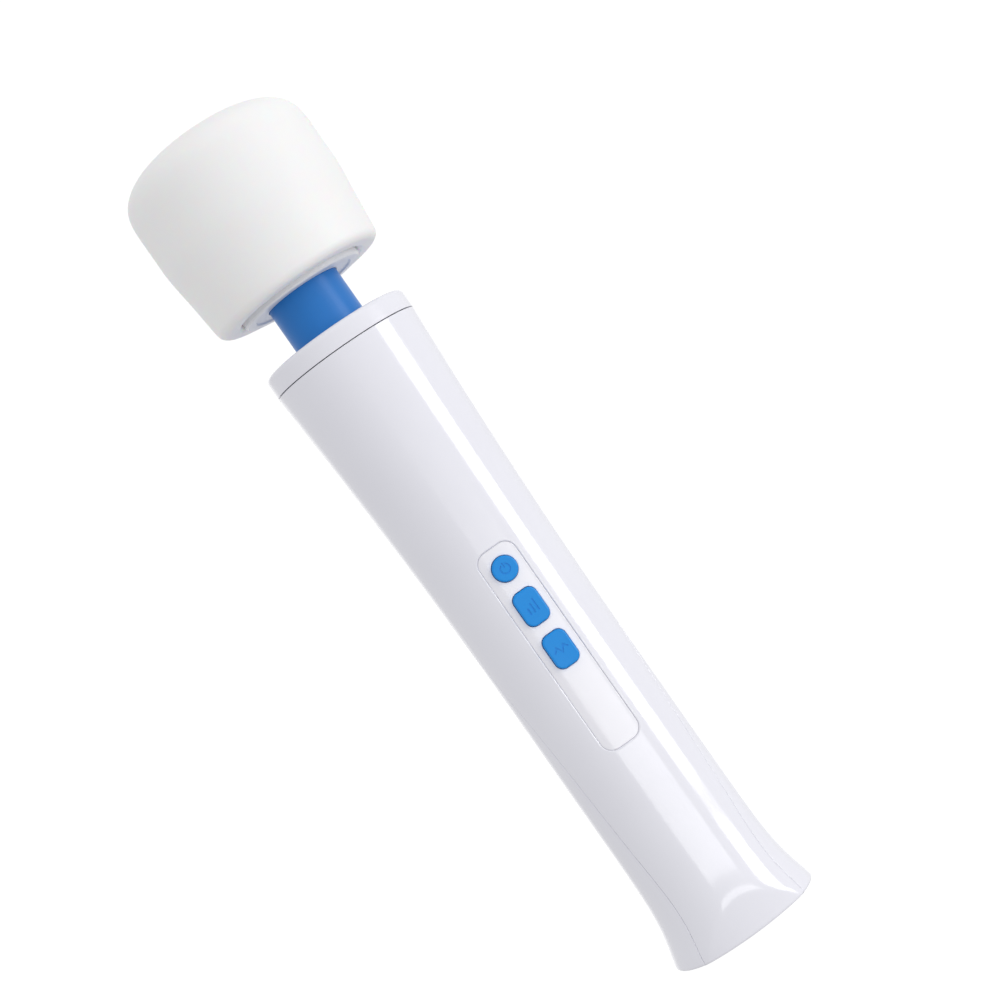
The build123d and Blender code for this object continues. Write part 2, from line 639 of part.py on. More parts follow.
with BuildPart() as motor_screws:
    with BuildSketch(Plane.XY.offset(MOTOR_TOP - 2.8)):
        with GridLocations(MOTOR_SCREW_SPACING, 1, 2, 1):
            Circle(1.22)
    extrude(amount=BRACKET_TOP - MOTOR_TOP + 2.8)
    with BuildSketch(Plane.XY.offset(BRACKET_TOP)):
        with GridLocations(MOTOR_SCREW_SPACING, 1, 2, 1):
            Circle(2.3)
    extrude(amount=1.5)
motor_screws.part.label = "motor_screws"

with BuildPart() as motor_cushions:
    for low in (MOTOR_LOW + 5, MOTOR_LOW + 34):
        with BuildSketch(Plane.XY.offset(low)):
            Circle(19.2)
            Circle(MOTOR_RADIUS + 0.05, mode=Mode.SUBTRACT)
            with PolarLocations(19.2, 8):
                Circle(1.1, mode=Mode.SUBTRACT)
        extrude(amount=6)
motor_cushions.part.label = "motor_cushions"

# ---------------------------------------------------------------- drive line
with BuildPart() as drive_hub:
    with BuildSketch(Plane.XZ):
        with BuildLine():
            Polyline(
                (SHAFT_RADIUS + SHAFT_SLIP, DRIVE_HUB_LOW),
                (HUB_FLANGE, DRIVE_HUB_LOW),
                (HUB_FLANGE, DRIVE_HUB_SEAT),
                (HUB_SPIGOT, DRIVE_HUB_SEAT),
                (HUB_SPIGOT, DRIVE_HUB_TOP - 0.8),
                (HUB_SPIGOT - 0.8, DRIVE_HUB_TOP),
                (SHAFT_RADIUS + SHAFT_SLIP, DRIVE_HUB_TOP),
                close=True,
            )
        make_face()
    revolve(axis=Axis.Z)
    with BuildSketch(Plane.YZ):
        with Locations((0, (DRIVE_HUB_LOW + DRIVE_HUB_SEAT) / 2)):
            Circle(1.3)
    extrude(amount=20, mode=Mode.SUBTRACT)
drive_hub.part.label = "drive_hub"

with BuildPart() as drive_set_screw:
    with BuildSketch(Plane.YZ.offset(SHAFT_RADIUS + 0.05)):
        with Locations((0, (DRIVE_HUB_LOW + DRIVE_HUB_SEAT) / 2)):
            Circle(1.27)
    extrude(amount=5.2)
    with BuildSketch(Plane.YZ.offset(SHAFT_RADIUS + 4)):
        with Locations((0, (DRIVE_HUB_LOW + DRIVE_HUB_SEAT) / 2)):
            RegularPolygon(0.7, 6)
    extrude(amount=5, mode=Mode.SUBTRACT)
drive_set_screw.part.label = "drive_set_screw"

with BuildPart() as coupling_spring:
    coil_low, coil_high = DRIVE_HUB_SEAT + WIRE_RADIUS + 0.1, DRIVEN_HUB_SEAT - WIRE_RADIUS - 0.1
    with BuildLine() as coil:
        Helix(
            pitch=(coil_high - coil_low) / COIL_TURNS,
            height=coil_high - coil_low,
            radius=COIL_RADIUS,
            center=(0, 0, coil_low),
        )
    with BuildSketch(Plane(origin=coil.line @ 0, z_dir=coil.line % 0)):
        Circle(WIRE_RADIUS)
    sweep(is_frenet=True)
coupling_spring.part.label = "coupling_spring"

with BuildPart() as driven_hub:
    with BuildSketch(Plane.XZ):
        with BuildLine():
            Polyline(
                (SPINDLE_RADIUS + SHAFT_SLIP, DRIVEN_HUB_LOW),
                (HUB_SPIGOT - 0.8, DRIVEN_HUB_LOW),
                (HUB_SPIGOT, DRIVEN_HUB_LOW + 0.8),
                (HUB_SPIGOT, DRIVEN_HUB_SEAT),
                (HUB_FLANGE, DRIVEN_HUB_SEAT),
                (HUB_FLANGE, DRIVEN_HUB_TOP),
                (SPINDLE_RADIUS + SHAFT_SLIP, DRIVEN_HUB_TOP),
                close=True,
            )
        make_face()
    revolve(axis=Axis.Z)
    with BuildSketch(Plane.YZ):
        with Locations((0, (DRIVEN_HUB_SEAT + DRIVEN_HUB_TOP) / 2)):
            Circle(1.3)
    extrude(amount=20, mode=Mode.SUBTRACT)
driven_hub.part.label = "driven_hub"

with BuildPart() as driven_set_screw:
    with BuildSketch(Plane.YZ.offset(SPINDLE_RADIUS + 0.05)):
        with Locations((0, (DRIVEN_HUB_SEAT + DRIVEN_HUB_TOP) / 2)):
            Circle(1.27)
    extrude(amount=4.8)
    with BuildSketch(Plane.YZ.offset(SPINDLE_RADIUS + 3.6)):
        with Locations((0, (DRIVEN_HUB_SEAT + DRIVEN_HUB_TOP) / 2)):
            RegularPolygon(0.7, 6)
    extrude(amount=5, mode=Mode.SUBTRACT)
driven_set_screw.part.label = "driven_set_screw"

# ---------------------------------------------------------------- collar and neck
with BuildPart() as collar_ring:
    with BuildSketch(Plane.XZ):
        with BuildLine():
            Polyline(
                (NECK_HOLE, LOWER_RECESS_TOP),
                (RECESS_RADIUS, LOWER_RECESS_TOP),
                (RECESS_RADIUS, LOWER_RECESS),
                (SPIGOT_INNER, LOWER_RECESS),
                (SPIGOT_INNER, SPIGOT_LOW),
                (SPIGOT_RADIUS, SPIGOT_LOW),
                (SPIGOT_RADIUS, GROOVE_LOW),
                (GROOVE_RADIUS, GROOVE_LOW),
                (GROOVE_RADIUS, GROOVE_HIGH),
                (SPIGOT_RADIUS, GROOVE_HIGH),
                (SPIGOT_RADIUS, COLLAR_LOW),
                (COLLAR_RADIUS, COLLAR_LOW),
                (COLLAR_RADIUS, COLLAR_TOP),
                (NECK_HOLE, COLLAR_TOP),
                close=True,
            )
        make_face()
    revolve(axis=Axis.Z)
    top_edges = collar_ring.edges().group_by(Axis.Z)[-1].sort_by(SortBy.LENGTH)
    fillet(top_edges[-1], COLLAR_ROUND)
    fillet(top_edges[0], 0.5)
    with BuildSketch(Plane.XY.offset(LOWER_RECESS)):
        with PolarLocations(CLAMP_SCREW_CIRCLE, 4, start_angle=45):
            Circle(0.97)
    extrude(amount=4.6, mode=Mode.SUBTRACT)
collar_ring.part.label = "collar_ring"

with BuildPart() as neck_clamp_ring:
    with BuildSketch(Plane.XY.offset(CLAMP_LOW)):
        Circle(CLAMP_OUTER)
        Circle(CLAMP_INNER, mode=Mode.SUBTRACT)
        with PolarLocations(CLAMP_SCREW_CIRCLE, 4, start_angle=45):
            Circle(1.0, mode=Mode.SUBTRACT)
    extrude(amount=LOWER_RECESS - CLAMP_LOW)
neck_clamp_ring.part.label = "neck_clamp_ring"

with BuildPart() as clamp_screws:
    with BuildSketch(Plane.XY.offset(CLAMP_LOW)):
        with PolarLocations(CLAMP_SCREW_CIRCLE, 4, start_angle=45):
            Circle(0.95)
    extrude(amount=7.2)
    with BuildSketch(Plane.XY.offset(CLAMP_LOW)):
        with PolarLocations(CLAMP_SCREW_CIRCLE, 4, start_angle=45):
            Circle(1.8)
    extrude(amount=-1.4)
clamp_screws.part.label = "clamp_screws"

with BuildPart() as neck_sleeve:
    neck_low, neck_high = LOWER_RECESS_TOP - 0.1 - FLANGE_THICKNESS, PLATE_TOP - 0.2
    with BuildSketch(Plane.XZ):
        with BuildLine():
            Polyline(
                (NECK_BORE, neck_low),
                (NECK_FLANGE, neck_low),
                (NECK_FLANGE, neck_low + FLANGE_THICKNESS),
                (NECK_RADIUS, neck_low + FLANGE_THICKNESS),
                (NECK_RADIUS, neck_high - FLANGE_THICKNESS),
                (NECK_FLANGE, neck_high - FLANGE_THICKNESS),
                (NECK_FLANGE, neck_high),
                (NECK_BORE, neck_high),
                close=True,
            )
        make_face()
    revolve(axis=Axis.Z)
neck_sleeve.part.label = "neck_sleeve"

# ---------------------------------------------------------------- head frame
with BuildPart() as head_base_plate:
    with BuildSketch(Plane.XZ):
        with BuildLine():
            Polyline(
                (NECK_HOLE, PLATE_STEP),
                (PLATE_RIM_INNER - 0.5, PLATE_STEP),
                (PLATE_RIM_INNER, PLATE_LOW),
                (PLATE_RIM_OUTER, PLATE_LOW),
                (PLATE_BOSS_RADIUS, PLATE_STEP + 0.1),
                (PLATE_BOSS_RADIUS, PLATE_FLANGE_LOW),
                (CORE_RADIUS, PLATE_FLANGE_LOW),
                (CORE_RADIUS, PLATE_TOP),
                (RECESS_RADIUS, PLATE_TOP),
                (RECESS_RADIUS, PLATE_TOP - FLANGE_THICKNESS - 0.3),
                (NECK_HOLE, PLATE_TOP - FLANGE_THICKNESS - 0.3),
                close=True,
            )
        make_face()
    revolve(axis=Axis.Z)
    with BuildSketch(Plane.XY.offset(PLATE_FLANGE_LOW)):
        with PolarLocations(HEAD_SCREW_CIRCLE, 4, start_angle=45):
            Circle(1.15)
    extrude(amount=10, mode=Mode.SUBTRACT)
    with BuildSketch(Plane.XY.offset(PLATE_FLANGE_LOW)):
        with PolarLocations(HEAD_SCREW_CIRCLE, 4, start_angle=45):
            Circle(1.8)
    extrude(amount=1.3, mode=Mode.SUBTRACT)
head_base_plate.part.label = "head_base_plate"

with BuildPart() as bearing_carrier:
    with BuildSketch(Plane.XZ):
        with BuildLine():
            Polyline(
                (8.95, PLATE_TOP),
                (CORE_RADIUS, PLATE_TOP),
                (CORE_RADIUS, CARRIER_TOP),
                (SEAT_OUTER, CARRIER_TOP),
                (SEAT_OUTER, LOWER_BEARING + BEARING_WIDTH),
                (SEAT_RADIUS, LOWER_BEARING + BEARING_WIDTH),
                (SEAT_RADIUS, LOWER_BEARING),
                (8.95, LOWER_BEARING),
                close=True,
            )
        make_face()
    revolve(axis=Axis.Z)
    with BuildSketch(Plane.XY.offset(PLATE_TOP)):
        with PolarLocations(HEAD_SCREW_CIRCLE, 4, start_angle=45):
            Circle(1.15)
    extrude(amount=10, mode=Mode.SUBTRACT)
bearing_carrier.part.label = "bearing_carrier"

with BuildPart() as head_core:
    with BuildSketch(Plane.XY.offset(CARRIER_TOP)):
        Circle(CORE_RADIUS)
    extrude(amount=CORE_TOP - CARRIER_TOP)
    fillet(head_core.edges().group_by(Axis.Z)[-1], CORE_ROUND)
    with BuildSketch(Plane.XY.offset(CARRIER_TOP)):
        Circle(CORE_RADIUS - CORE_WALL)
    extrude(amount=CORE_TOP - CARRIER_TOP - CORE_ROUND + 1, mode=Mode.SUBTRACT)
    with BuildSketch(Plane.XY.offset(CORE_TOP - CORE_ROUND)):
        Circle(18)
    extrude(amount=CORE_ROUND - CORE_WALL, mode=Mode.SUBTRACT)
    # Seat of the upper bearing, hanging from the roof, with a shoulder above the bearing.
    with BuildSketch(Plane.XY.offset(UPPER_BEARING)):
        Circle(SEAT_OUTER)
        Circle(SEAT_RADIUS, mode=Mode.SUBTRACT)
    extrude(amount=CORE_TOP - CORE_WALL - UPPER_BEARING + 0.5)
    with BuildSketch(Plane.XY.offset(UPPER_BEARING + BEARING_WIDTH + 0.05)):
        Circle(SEAT_RADIUS + 0.5)
        Circle(7.8, mode=Mode.SUBTRACT)
    extrude(amount=1.5)
    # Posts for the four screws that hold the head together.
    with BuildSketch(Plane.XY.offset(CARRIER_TOP)):
        with PolarLocations(22.2, 4, start_angle=45):
            Circle(2.8)
    extrude(amount=12)
    with BuildSketch(Plane.XY.offset(CARRIER_TOP)):
        with PolarLocations(HEAD_SCREW_CIRCLE, 4, start_angle=45):
            Circle(1.12)
    extrude(amount=10, mode=Mode.SUBTRACT)
head_core.part.label = "head_core"

with BuildPart() as head_screws:
    with BuildSketch(Plane.XY.offset(PLATE_FLANGE_LOW + 1.3)):
        with PolarLocations(HEAD_SCREW_CIRCLE, 4, start_angle=45):
            Circle(1.1)
    extrude(amount=13.5)
    with BuildSketch(Plane.XY.offset(PLATE_FLANGE_LOW + 0.1)):
        with PolarLocations(HEAD_SCREW_CIRCLE, 4, start_angle=45):
            Circle(1.7)
    extrude(amount=1.2)
head_screws.part.label = "head_screws"

# ---------------------------------------------------------------- ball bearings in the head
GROOVE = 1.79  # radius of the ball track
OUTER_RING_BORE, INNER_RING_EDGE = 7.7, 4.8  # radii
BEARING_MIDDLES = [low + BEARING_WIDTH / 2 for low in (LOWER_BEARING, UPPER_BEARING)]

with BuildPart() as bearing_outer_rings:
    for middle in BEARING_MIDDLES:
        with BuildSketch(Plane.XZ):
            with Locations(((BEARING_OUTER + OUTER_RING_BORE) / 2, middle)):
                Rectangle(BEARING_OUTER - OUTER_RING_BORE, BEARING_WIDTH)
            with Locations((BALL_PITCH, middle)):
                Circle(GROOVE, mode=Mode.SUBTRACT)
    revolve(axis=Axis.Z)
bearing_outer_rings.part.label = "bearing_outer_rings"

with BuildPart() as bearing_inner_rings:
    for middle in BEARING_MIDDLES:
        inner = SPINDLE_RADIUS + SHAFT_SLIP
        with BuildSketch(Plane.XZ):
            with Locations(((inner + INNER_RING_EDGE) / 2, middle)):
                Rectangle(INNER_RING_EDGE - inner, BEARING_WIDTH)
            with Locations((BALL_PITCH, middle)):
                Circle(GROOVE, mode=Mode.SUBTRACT)
    revolve(axis=Axis.Z)
bearing_inner_rings.part.label = "bearing_inner_rings"

with BuildPart() as bearing_balls:
    for middle in BEARING_MIDDLES:
        with Locations((0, 0, middle)):
            with PolarLocations(BALL_PITCH, BALL_COUNT):
                Sphere(BALL_RADIUS)
bearing_balls.part.label = "bearing_balls"

# ---------------------------------------------------------------- spindle and off-centre weight
with BuildPart() as spindle:
    with BuildSketch(Plane.XY.offset(DRIVEN_HUB_LOW + 1)):
        Circle(SPINDLE_RADIUS)
    extrude(amount=UPPER_BEARING + BEARING_WIDTH + 1.5 - DRIVEN_HUB_LOW - 1)
    chamfer(spindle.edges(), 0.4)
spindle.part.label = "spindle"

with BuildPart() as eccentric_weight:
    with BuildSketch(Plane.XY.offset(WEIGHT_LOW)):
        Circle(WEIGHT_RADIUS)
        with Locations((-WEIGHT_RADIUS, 0)):
            Rectangle(2 * WEIGHT_RADIUS, 2 * WEIGHT_RADIUS, mode=Mode.SUBTRACT)
        Circle(6.0)
        Circle(SPINDLE_RADIUS + SHAFT_SLIP, mode=Mode.SUBTRACT)
    extrude(amount=WEIGHT_HIGH - WEIGHT_LOW)
    with BuildSketch(Plane.YZ):
        with Locations((0, (WEIGHT_LOW + WEIGHT_HIGH) / 2)):
            Circle(1.5)
    extrude(amount=-20, mode=Mode.SUBTRACT)
eccentric_weight.part.label = "eccentric_weight"

with BuildPart() as weight_set_screw:
    with BuildSketch(Plane.YZ.offset(-SPINDLE_RADIUS - 0.05)):
        with Locations((0, (WEIGHT_LOW + WEIGHT_HIGH) / 2)):
            Circle(1.47)
    extrude(amount=-2.8)
weight_set_screw.part.label = "weight_set_screw"

# ---------------------------------------------------------------- soft head cover
with BuildPart() as head_cover:
    with BuildSketch(Plane.XZ):
        with BuildLine():
            inner_rim = Line((COVER_LIP, PLATE_FLANGE_LOW - 0.1), (COVER_LIP, COVER_LOW + 2.0))
            inner_round = TangentArc(inner_rim @ 1, (COVER_LIP + 2.0, COVER_LOW), tangent=(0, -1))
            rim = Line(inner_round @ 1, (COVER_LIP + 5.2, COVER_LOW))
            outer_round = TangentArc(rim @ 1, (29.65, 242.4), tangent=(1, 0))
            flank = Spline(
                outer_round @ 1,
                (31.25, 257.5),
                (COVER_RADIUS, COVER_STRAIGHT_LOW),
                tangents=(outer_round % 1, (0, 1)),
            )
            straight = Line(flank @ 1, (COVER_RADIUS, COVER_STRAIGHT_HIGH))
            dome = Spline(
                straight @ 1,
                (30.6, 289.0),
                (25.0, 293.9),
                (16.0, 296.5),
                (0, COVER_TOP),
                tangents=((0, 1), (-1, 0)),
            )
            Polyline(
                dome @ 1,
                (0, CORE_TOP + 0.2),
                (CORE_RADIUS - CORE_ROUND, CORE_TOP + 0.2),
            )
            TangentArc(
                (CORE_RADIUS - CORE_ROUND, CORE_TOP + 0.2),
                (CORE_RADIUS + 0.2, CORE_TOP - CORE_ROUND),
                tangent=(1, 0),
            )
            Polyline(
                (CORE_RADIUS + 0.2, CORE_TOP - CORE_ROUND),
                (CORE_RADIUS + 0.2, PLATE_FLANGE_LOW - 0.1),
                inner_rim @ 0,
            )
        make_face()
    revolve(axis=Axis.Z)
head_cover.part.label = "head_cover"

# ---------------------------------------------------------------- files
os.makedirs("parts", exist_ok=True)
for piece in (
    front_shell,
    rear_shell,
    shell_screws,
    control_panel,
    power_button,
    pattern_button,
    speed_button,
    control_board,
    board_screws,
    tact_switches,
    board_components,
    battery_cell,
    lower_battery_holder,
    upper_battery_holder,
    battery_tabs,
    charge_jack,
    jack_pin,
    charge_board,
    charge_board_screws,
    motor_can,
    motor_end_cap,
    motor_terminals,
    motor_brushes,
    motor_bushes,
    motor_magnets,
    motor_shaft,
    armature_core,
    armature_windings,
    commutator,
    motor_bracket,
    motor_screws,
    motor_cushions,
    drive_hub,
    drive_set_screw,
    coupling_spring,
    driven_hub,
    driven_set_screw,
    collar_ring,
    neck_clamp_ring,
    clamp_screws,
    neck_sleeve,
    head_base_plate,
    bearing_carrier,
    head_core,
    head_screws,
    bearing_outer_rings,
    bearing_inner_rings,
    bearing_balls,
    spindle,
    eccentric_weight,
    weight_set_screw,
    head_cover,
):
    export_step(piece.part, f"parts/{piece.part.label}.step")
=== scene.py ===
import json
from math import cos, pi, radians, sin

import bpy
import numpy as np
from mathutils import Matrix, Vector
from mathutils.geometry import delaunay_2d_cdt


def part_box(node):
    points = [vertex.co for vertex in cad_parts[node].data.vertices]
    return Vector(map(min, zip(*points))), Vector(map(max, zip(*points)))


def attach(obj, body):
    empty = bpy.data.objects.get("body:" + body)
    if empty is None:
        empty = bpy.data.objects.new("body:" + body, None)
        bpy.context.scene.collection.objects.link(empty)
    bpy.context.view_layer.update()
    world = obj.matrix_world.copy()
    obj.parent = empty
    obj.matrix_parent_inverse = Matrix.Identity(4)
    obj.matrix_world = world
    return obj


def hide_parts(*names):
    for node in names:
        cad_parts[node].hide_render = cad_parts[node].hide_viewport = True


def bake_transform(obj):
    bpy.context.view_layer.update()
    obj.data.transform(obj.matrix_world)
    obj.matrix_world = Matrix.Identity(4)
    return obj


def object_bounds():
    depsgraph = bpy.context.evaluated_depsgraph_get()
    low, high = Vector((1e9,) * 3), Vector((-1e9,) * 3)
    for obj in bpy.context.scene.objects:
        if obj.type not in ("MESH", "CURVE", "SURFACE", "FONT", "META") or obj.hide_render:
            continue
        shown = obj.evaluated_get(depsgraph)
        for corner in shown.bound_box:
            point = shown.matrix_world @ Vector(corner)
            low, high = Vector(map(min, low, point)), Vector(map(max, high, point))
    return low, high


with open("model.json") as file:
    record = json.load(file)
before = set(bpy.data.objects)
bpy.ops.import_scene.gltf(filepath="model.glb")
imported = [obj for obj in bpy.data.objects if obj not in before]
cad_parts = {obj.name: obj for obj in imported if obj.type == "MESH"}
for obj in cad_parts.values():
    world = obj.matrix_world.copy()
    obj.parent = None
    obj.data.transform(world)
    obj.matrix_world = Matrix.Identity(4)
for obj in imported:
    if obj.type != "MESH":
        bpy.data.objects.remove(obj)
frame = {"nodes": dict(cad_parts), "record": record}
CAD_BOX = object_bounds()

# Cordless handheld wand massager on a pale studio floor. Shapes are worked out in millimetres, in the
# frame of the CAD, and become metres when their mesh is made. The handle's shells, its panel, the soft
# head and the flexible neck are built here; every other piece is its CAD node with a finished material.
MM = 0.001

# The handle's sections are ovals: a waist, a flared foot and a wider shoulder under the collar.
WAIST_HALF_WIDTH, WAIST_HALF_DEPTH = 21.55, 20.2
FLARE_WIDTH, FLARE_WIDTH_HEIGHT = 4.0, 11.5
FLARE_DEPTH, FLARE_DEPTH_HEIGHT, CAVITY_FLARE_DEPTH = 3.8, 17.0, 1.6
SHOULDER_START, SHOULDER_WIDTH, SHOULDER_DEPTH = 95.0, 3.85, 5.2
SHELL_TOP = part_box("front_shell")[1].z / MM
WALL, FLOOR = 2.2, 3.0
# The floor in the foot is lifted by a hair, set in from the outside, and has a hole for the charging jack.
FLOOR_LIFT, FLOOR_INSET, FLOOR_SEAM_GAP, JACK_CLEARANCE = 0.02, 1.2, 0.4, 0.15
# The arched flat on the foot: part of a leaning cylinder.
FACET_RADIUS, FACET_FRONT, FACET_LEAN = 38.0, 21.8, 0.018
FACET_EDGE_ROUND = 0.35
# Side view of the seam between the shells, as (y, z): it swings forward below the buttons.
SEAM_POINTS = ((-16.4, -1.0), (-14.8, 15.4), (-12.6, 35.0), (-8.6, 80.0), (-3.6, 109.0), (0.0, 135.0))
SEAM_START, SEAM_END = (0.1, 1.0), (0.0, 1.0)
SEAM_GAP = 0.1
# Panel and buttons.
PANEL_WIDTH, PANEL_CORNER, PANEL_CLEARANCE = 13.3, 4.0, 0.01
PANEL_INSET, PANEL_THICKNESS = 0.3, 2.1
BUTTON_CLEARANCE = 0.15
POWER_RADIUS = 4.0
KEY_WIDTH, KEY_HEIGHT, KEY_CORNER = 8.05, 11.45, 2.6
# The shell screws go in from the back, through a pocket and a seat in each of the rear shell's posts, and
# into a blind hole in the front shell's post. Places are (x, z); seats and hole ends are y.
SIDE_SCREWS = [(side * 14.5, height) for height in (97.0, 144.0) for side in (-1, 1)]
FOOT_SCREW = (0.0, 17.0)
SIDE_POST_RADIUS, FOOT_POST_RADIUS = 3.3, 4.0
SIDE_SEAT, FOOT_SEAT = 3.5, -3.0
SIDE_HOLE_END, FOOT_HOLE_END = -9.0, -18.0
SIDE_POST_BACK = -0.1
POCKET_RADIUS, PILOT_RADIUS = 2.3, 1.2
# Posts of the two small boards. The screws' middles are this far in from the ends of the screws' box.
BOARD_POST_RADIUS, BOARD_POST_BACK, BOARD_HOLE_END = 2.3, -12.4, -17.5
CHARGE_POST_RADIUS, CHARGE_POST_ROOT = 2.2, 0.5
SMALL_PILOT_RADIUS, SMALL_SCREW_INSET = 0.9, 1.7
# Ribs round the inside of the shells.
RIB_THICKNESS, BRACKET_RIB_RADIUS, COLLAR_RIB_RADIUS = 1.4, 19.9, 21.6
# How the edges of the skins are rounded.
EDGE_ROUNDING, FOOT_ROUNDING, WINDOW_ROUNDING = 0.2, 0.8, 0.55
PANEL_ROUNDING, BUTTON_HOLE_ROUNDING = 0.3, 0.22


# ---------------------------------------------------------------- materials
def node(tree, kind, **settings):
    """A new shader node, with its properties set by name."""
    made = tree.nodes.new("ShaderNode" + kind)
    for name, value in settings.items():
        setattr(made, name, value)
    return made


def empty_tree(owner):
    """The node tree of a material or world, with nothing in it."""
    owner.use_nodes = True
    owner.node_tree.nodes.clear()
    return owner.node_tree


def start_material():
    """An empty material: (material, node tree, Principled shader)."""
    material = bpy.data.materials.new("finish")
    tree = empty_tree(material)
    shader = node(tree, "BsdfPrincipled")
    output = node(tree, "OutputMaterial")
    tree.links.new(shader.outputs["BSDF"], output.inputs["Surface"])
    return material, tree, shader


def place(tree, scale):
    """Object coordinates in metres, scaled on each axis."""
    coordinates = node(tree, "TexCoord")
    mapping = node(tree, "Mapping")
    mapping.inputs["Scale"].default_value = scale
    tree.links.new(coordinates.outputs["Object"], mapping.inputs["Vector"])
    return mapping.outputs["Vector"]


def noise(tree, size, detail=3.0, stretch=(1, 1, 1), contrast=0.5):
    """Noise whose features are about this many metres across, longer on the stretched axes."""
    texture = node(tree, "TexNoise")
    texture.inputs["Scale"].default_value = 1.0
    texture.inputs["Detail"].default_value = detail
    texture.inputs["Roughness"].default_value = contrast
    scale = tuple(1 / (size * along) for along in stretch)
    tree.links.new(place(tree, scale), texture.inputs["Vector"])
    return texture.outputs["Fac"]


def bands(tree, spacing, direction="Z", waver=0.3):
    """Even ridges across one axis, this many metres apart."""
    texture = node(tree, "TexWave", wave_type="BANDS", bands_direction=direction)
    texture.inputs["Scale"].default_value = 1.0
    texture.inputs["Distortion"].default_value = waver
    tree.links.new(place(tree, (0.314 / spacing,) * 3), texture.inputs["Vector"])
    return texture.outputs["Fac"]


def spread(tree, source, low, high, start=0.3, end=0.7):
    """The source's middle range, drawn out to run from low to high."""
    ranged = node(tree, "MapRange")
    for name, value in (("From Min", start), ("From Max", end), ("To Min", low), ("To Max", high)):
        ranged.inputs[name].default_value = value
    tree.links.new(source, ranged.inputs["Value"])
    return ranged.outputs["Result"]


def blend_colours(tree, factor, first, second):
    """First colour where the factor is 0, second where it is 1. Either may be another node's output."""
    mix = node(tree, "Mix", data_type="RGBA")
    tree.links.new(factor, mix.inputs["Factor"])
    for socket, colour in ((mix.inputs[6], first), (mix.inputs[7], second)):
        if isinstance(colour, tuple):
            socket.default_value = (*colour, 1)
        else:
            tree.links.new(colour, socket)
    return mix.outputs[2]


def relief(tree, height, depth, below=None):
    """Bump of this depth in metres, laid over another bump if one is given."""
    bump = node(tree, "Bump")
    bump.inputs["Strength"].default_value = 1.0
    bump.inputs["Distance"].default_value = depth
    tree.links.new(height, bump.inputs["Height"])
    if below is not None:
        tree.links.new(below, bump.inputs["Normal"])
    return bump.outputs["Normal"]


def worn_edges(tree, start=0.52, end=0.62):
    """1 on sharp outward edges and 0 elsewhere."""
    geometry = node(tree, "NewGeometry")
    return spread(tree, geometry.outputs["Pointiness"], 0.0, 1.0, start, end)


def finish_surface(tree, shader, colour, roughness, normal, settings):
    """Links a surface's colour, roughness and relief, and sets the shader's plain values."""
    tree.links.new(colour, shader.inputs["Base Color"])
    tree.links.new(roughness, shader.inputs["Roughness"])
    tree.links.new(normal, shader.inputs["Normal"])
    for name, value in settings.items():
        shader.inputs[name].default_value = value


def moulded(colour, shade, gloss, grain, depth, edge=None, blotch=0.03, **settings):
    """Moulded plastic or rubber: slow colour drift, uneven gloss, fine grain and softly worn edges."""
    material, tree, shader = start_material()
    drift = blend_colours(tree, spread(tree, noise(tree, blotch, 2.0), 0, 1), colour, shade)
    if edge is not None:
        drift = blend_colours(tree, worn_edges(tree), drift, edge)
    roughness = spread(tree, noise(tree, blotch / 4, 4.0), *gloss)
    waviness = relief(tree, noise(tree, grain * 12, 2.0), depth * 3)
    surface = relief(tree, noise(tree, grain, 2.0), depth, waviness)
    sockets = {key.replace("_", " "): value for key, value in settings.items()}
    finish_surface(tree, shader, drift, roughness, surface, sockets)
    return material


def metal(colour, shade, gloss, grain, depth, stretch=(1, 1, 1), edge=None):
    """Bare or plated metal: stretched grain for turning or drawing, dull patches and bright edges."""
    material, tree, shader = start_material()
    drift = blend_colours(tree, spread(tree, noise(tree, 0.006, 4.0), 0, 1), colour, shade)
    drift = blend_colours(tree, worn_edges(tree), drift, edge or colour)
    lines = noise(tree, grain, 4.0, stretch, 0.7)
    roughness = spread(tree, lines, *gloss)
    finish_surface(tree, shader, drift, roughness, relief(tree, lines, depth), {"Metallic": 1.0})
    return material


def layered(colour, dark_drift_and_gap_shade, spacing, direction, gloss, depth, metallic):
    """Stacked sheets or wound wire: even ridges, with painted shade darkening the gaps between them; the
    same dark colour also drifts in at random.
    """
    material, tree, shader = start_material()
    ridges = bands(tree, spacing, direction)
    drift = blend_colours(tree, spread(tree, noise(tree, 0.004, 3.0), 0, 0.35), colour, dark_drift_and_gap_shade)
    # Painted shade: the gaps between the ridges take the dark colour.
    tone = blend_colours(tree, spread(tree, ridges, 1, 0, 0.05, 0.35), drift, dark_drift_and_gap_shade)
    roughness = spread(tree, noise(tree, 0.002, 3.0), *gloss)
    finish_surface(tree, shader, tone, roughness, relief(tree, ridges, depth), {"Metallic": metallic})
    return material


def printed_board():
    """Green solder mask over copper tracks on a woven glass board."""
    material, tree, shader = start_material()
    tracks = node(tree, "TexVoronoi", feature="DISTANCE_TO_EDGE")
    tracks.inputs["Scale"].default_value = 1.0
    tracks.inputs["Randomness"].default_value = 0.45
    tree.links.new(place(tree, (320, 320, 260)), tracks.inputs["Vector"])
    line = spread(tree, tracks.outputs["Distance"], 1, 0, 0.03, 0.09)
    weave = bands(tree, 0.0006, "X")
    mask = blend_colours(tree, spread(tree, weave, 0, 1), (0.010, 0.115, 0.050), (0.014, 0.140, 0.062))
    tone = blend_colours(tree, line, mask, (0.035, 0.230, 0.085))
    roughness = spread(tree, noise(tree, 0.003, 3.0), 0.24, 0.38)
    finish_surface(tree, shader, tone, roughness, relief(tree, line, 0.00003), {"Coat Weight": 0.4})
    return material


TURNED = (60, 60, 1)  # grain drawn round the axis of a turned or ground piece
DRAWN = (1, 1, 40)  # grain drawn out along the axis

